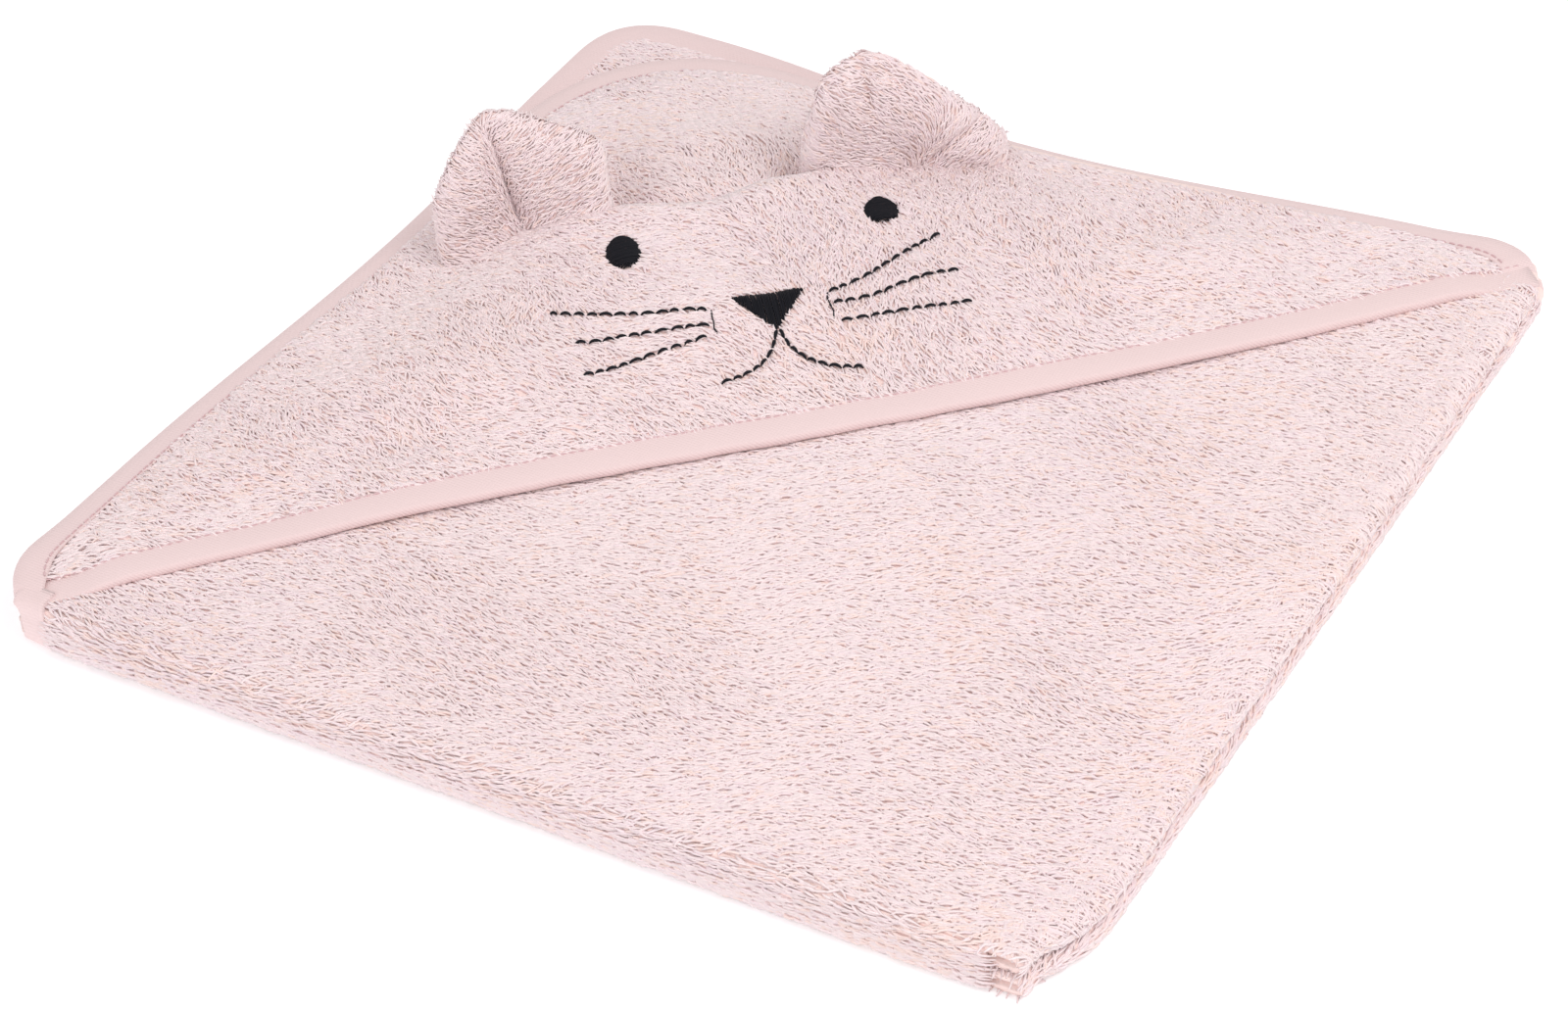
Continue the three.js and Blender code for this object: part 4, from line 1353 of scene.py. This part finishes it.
lower_top, lower_under = lower_grid[lower_parts[0] :], lower_grid[: lower_parts[0]]
upper_under = upper_grid[: upper_parts[0]]
lower_loops = pile_inside("loops_lower_top", lower_top, LOWER_LINE, 1, "lower_pair", 52)
lower_loops += pile_on_corner()
lower_loops += pile_inside("loops_lower_under", lower_under, LOWER_LINE, -1, "lower_pair", 53)
upper_under_loops = pile_inside("loops_upper_under", upper_under, UPPER_LINE, -1, "upper_pair", 54)


def pile_on_ear(side, grid, half):
    """Loops that run out from the ear's hollow and up to its rim, front and back."""
    normal = grid_normals(grid)
    foot, along, forward = ear_frame(side)
    low, top = EAR_SHAPES[side]["hollows"][0][:2]
    for facing, label in ((1, "front"), (-1, "back")):
        local = seeded(60 + facing + (5 if side == "left" else 0))
        outward = normal * np.sign((normal * forward).sum(-1, keepdims=True)) * facing
        surface = grid + outward * half[..., None]
        roots, normals = scatter(surface, LOOP_PITCH * 0.92, local)
        normals = normals * np.sign((normals * forward * facing).sum(1, keepdims=True) + 1e-6)
        s = (roots - foot) @ along / EAR_SHAPES[side]["half"]
        v = np.clip((roots[:, 2] - foot[2]) / 45, 0, 1)
        away = np.tanh((s - (low + (top - low) * v)) * 5)
        swirl = 25 * drift(roots[:, 0], roots[:, 2], 16, 91)
        spin = np.radians(local.normal(0, 24, len(roots)) + swirl)
        sideways, upward = away * np.cos(spin), 0.75 + np.sin(spin)
        flat = sideways[:, None] * along + upward[:, None] * UP
        flat -= normals * (flat * normals).sum(1, keepdims=True)
        name = f"loops_ear_{side}_{label}"
        loop_pieces(name, roots, normals, unit(flat), f"ear_{side}", local, size=0.85)


pile_on_ear("left", ear_left_grid, ear_left_half)
pile_on_ear("right", ear_right_grid, ear_right_half)

# ------------------------------------------------------------------ the upper pair's extra pieces, in one list


upper_extras = [upper_tape, perimeter_stitches]
upper_extras += [*upper_loops, *upper_under_loops, *upper_fold_loops]

# ------------------------------------------------------------------ the studio


FLOOR_REACH = 6.0
FLOOR_DROP = 0.0002


def make_floor():
    """A white floor that glows a little, so that it shows as plain white."""
    mesh = bpy.data.meshes.new("floor")
    corners = [(-1, -1), (1, -1), (1, 1), (-1, 1)]
    points = [(x * FLOOR_REACH, y * FLOOR_REACH, -FLOOR_DROP) for x, y in corners]
    mesh.from_pydata(points, [], [(0, 1, 2, 3)])
    floor = bpy.data.objects.new("floor", mesh)
    bpy.context.scene.collection.objects.link(floor)
    material, principled = shader("floor_white", (0.96, 0.96, 0.97), 0.9)
    principled.inputs["Emission Color"].default_value = (1, 1, 1, 1)
    principled.inputs["Emission Strength"].default_value = 0.22
    mesh.materials.append(material)
    floor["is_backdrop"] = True


def area_light(name, position, target, size, power, colour):
    light = bpy.data.lights.new(name, "AREA")
    light.shape = "DISK"
    light.size = size
    light.energy = power
    light.color = colour
    holder = bpy.data.objects.new(name, light)
    bpy.context.scene.collection.objects.link(holder)
    holder.location = position
    aim = Vector(target) - Vector(position)
    holder.rotation_euler = aim.to_track_quat("-Z", "Y").to_euler()


def make_lights():
    area_light("key", (0.65, -0.85, 1.4), (0, 0, 0), 1.0, 9.2, (1.0, 0.99, 0.98))
    area_light("fill", (-1.2, -1.0, 1.0), (0, 0, 0), 1.6, 6.2, (0.95, 0.96, 1.0))
    world = bpy.data.worlds.new("studio")
    world.use_nodes = True
    background = world.node_tree.nodes["Background"]
    background.inputs["Color"].default_value = (1, 1, 1, 1)
    background.inputs["Strength"].default_value = 0.74
    bpy.context.scene.world = world


def make_camera():
    azimuth, elevation, roll = [math.radians(v) for v in (VIEW_AZIMUTH, VIEW_ELEVATION, VIEW_ROLL)]
    away = Vector(
        (
            math.sin(azimuth) * math.cos(elevation),
            -math.cos(azimuth) * math.cos(elevation),
            math.sin(elevation),
        )
    )
    level = Vector((math.cos(azimuth), math.sin(azimuth), 0))
    upright = away.cross(level)
    right = level * math.cos(roll) + upright * math.sin(roll)
    up = upright * math.cos(roll) - level * math.sin(roll)
    place = Vector(VIEW_TARGET) + away * VIEW_DISTANCE
    data = bpy.data.cameras.new("camera")
    data.lens = VIEW_LENS
    data.sensor_width = 36
    data.clip_start = 0.05
    data.clip_end = 20
    data.dof.use_dof = False
    camera = bpy.data.objects.new("camera", data)
    bpy.context.scene.collection.objects.link(camera)
    turn = Matrix((right, up, away)).transposed().to_4x4()
    camera.matrix_world = Matrix.Translation(place) @ turn
    bpy.context.scene.camera = camera


make_floor()
make_lights()
make_camera()
bpy.context.scene.view_settings.view_transform = "Standard"

low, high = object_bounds()
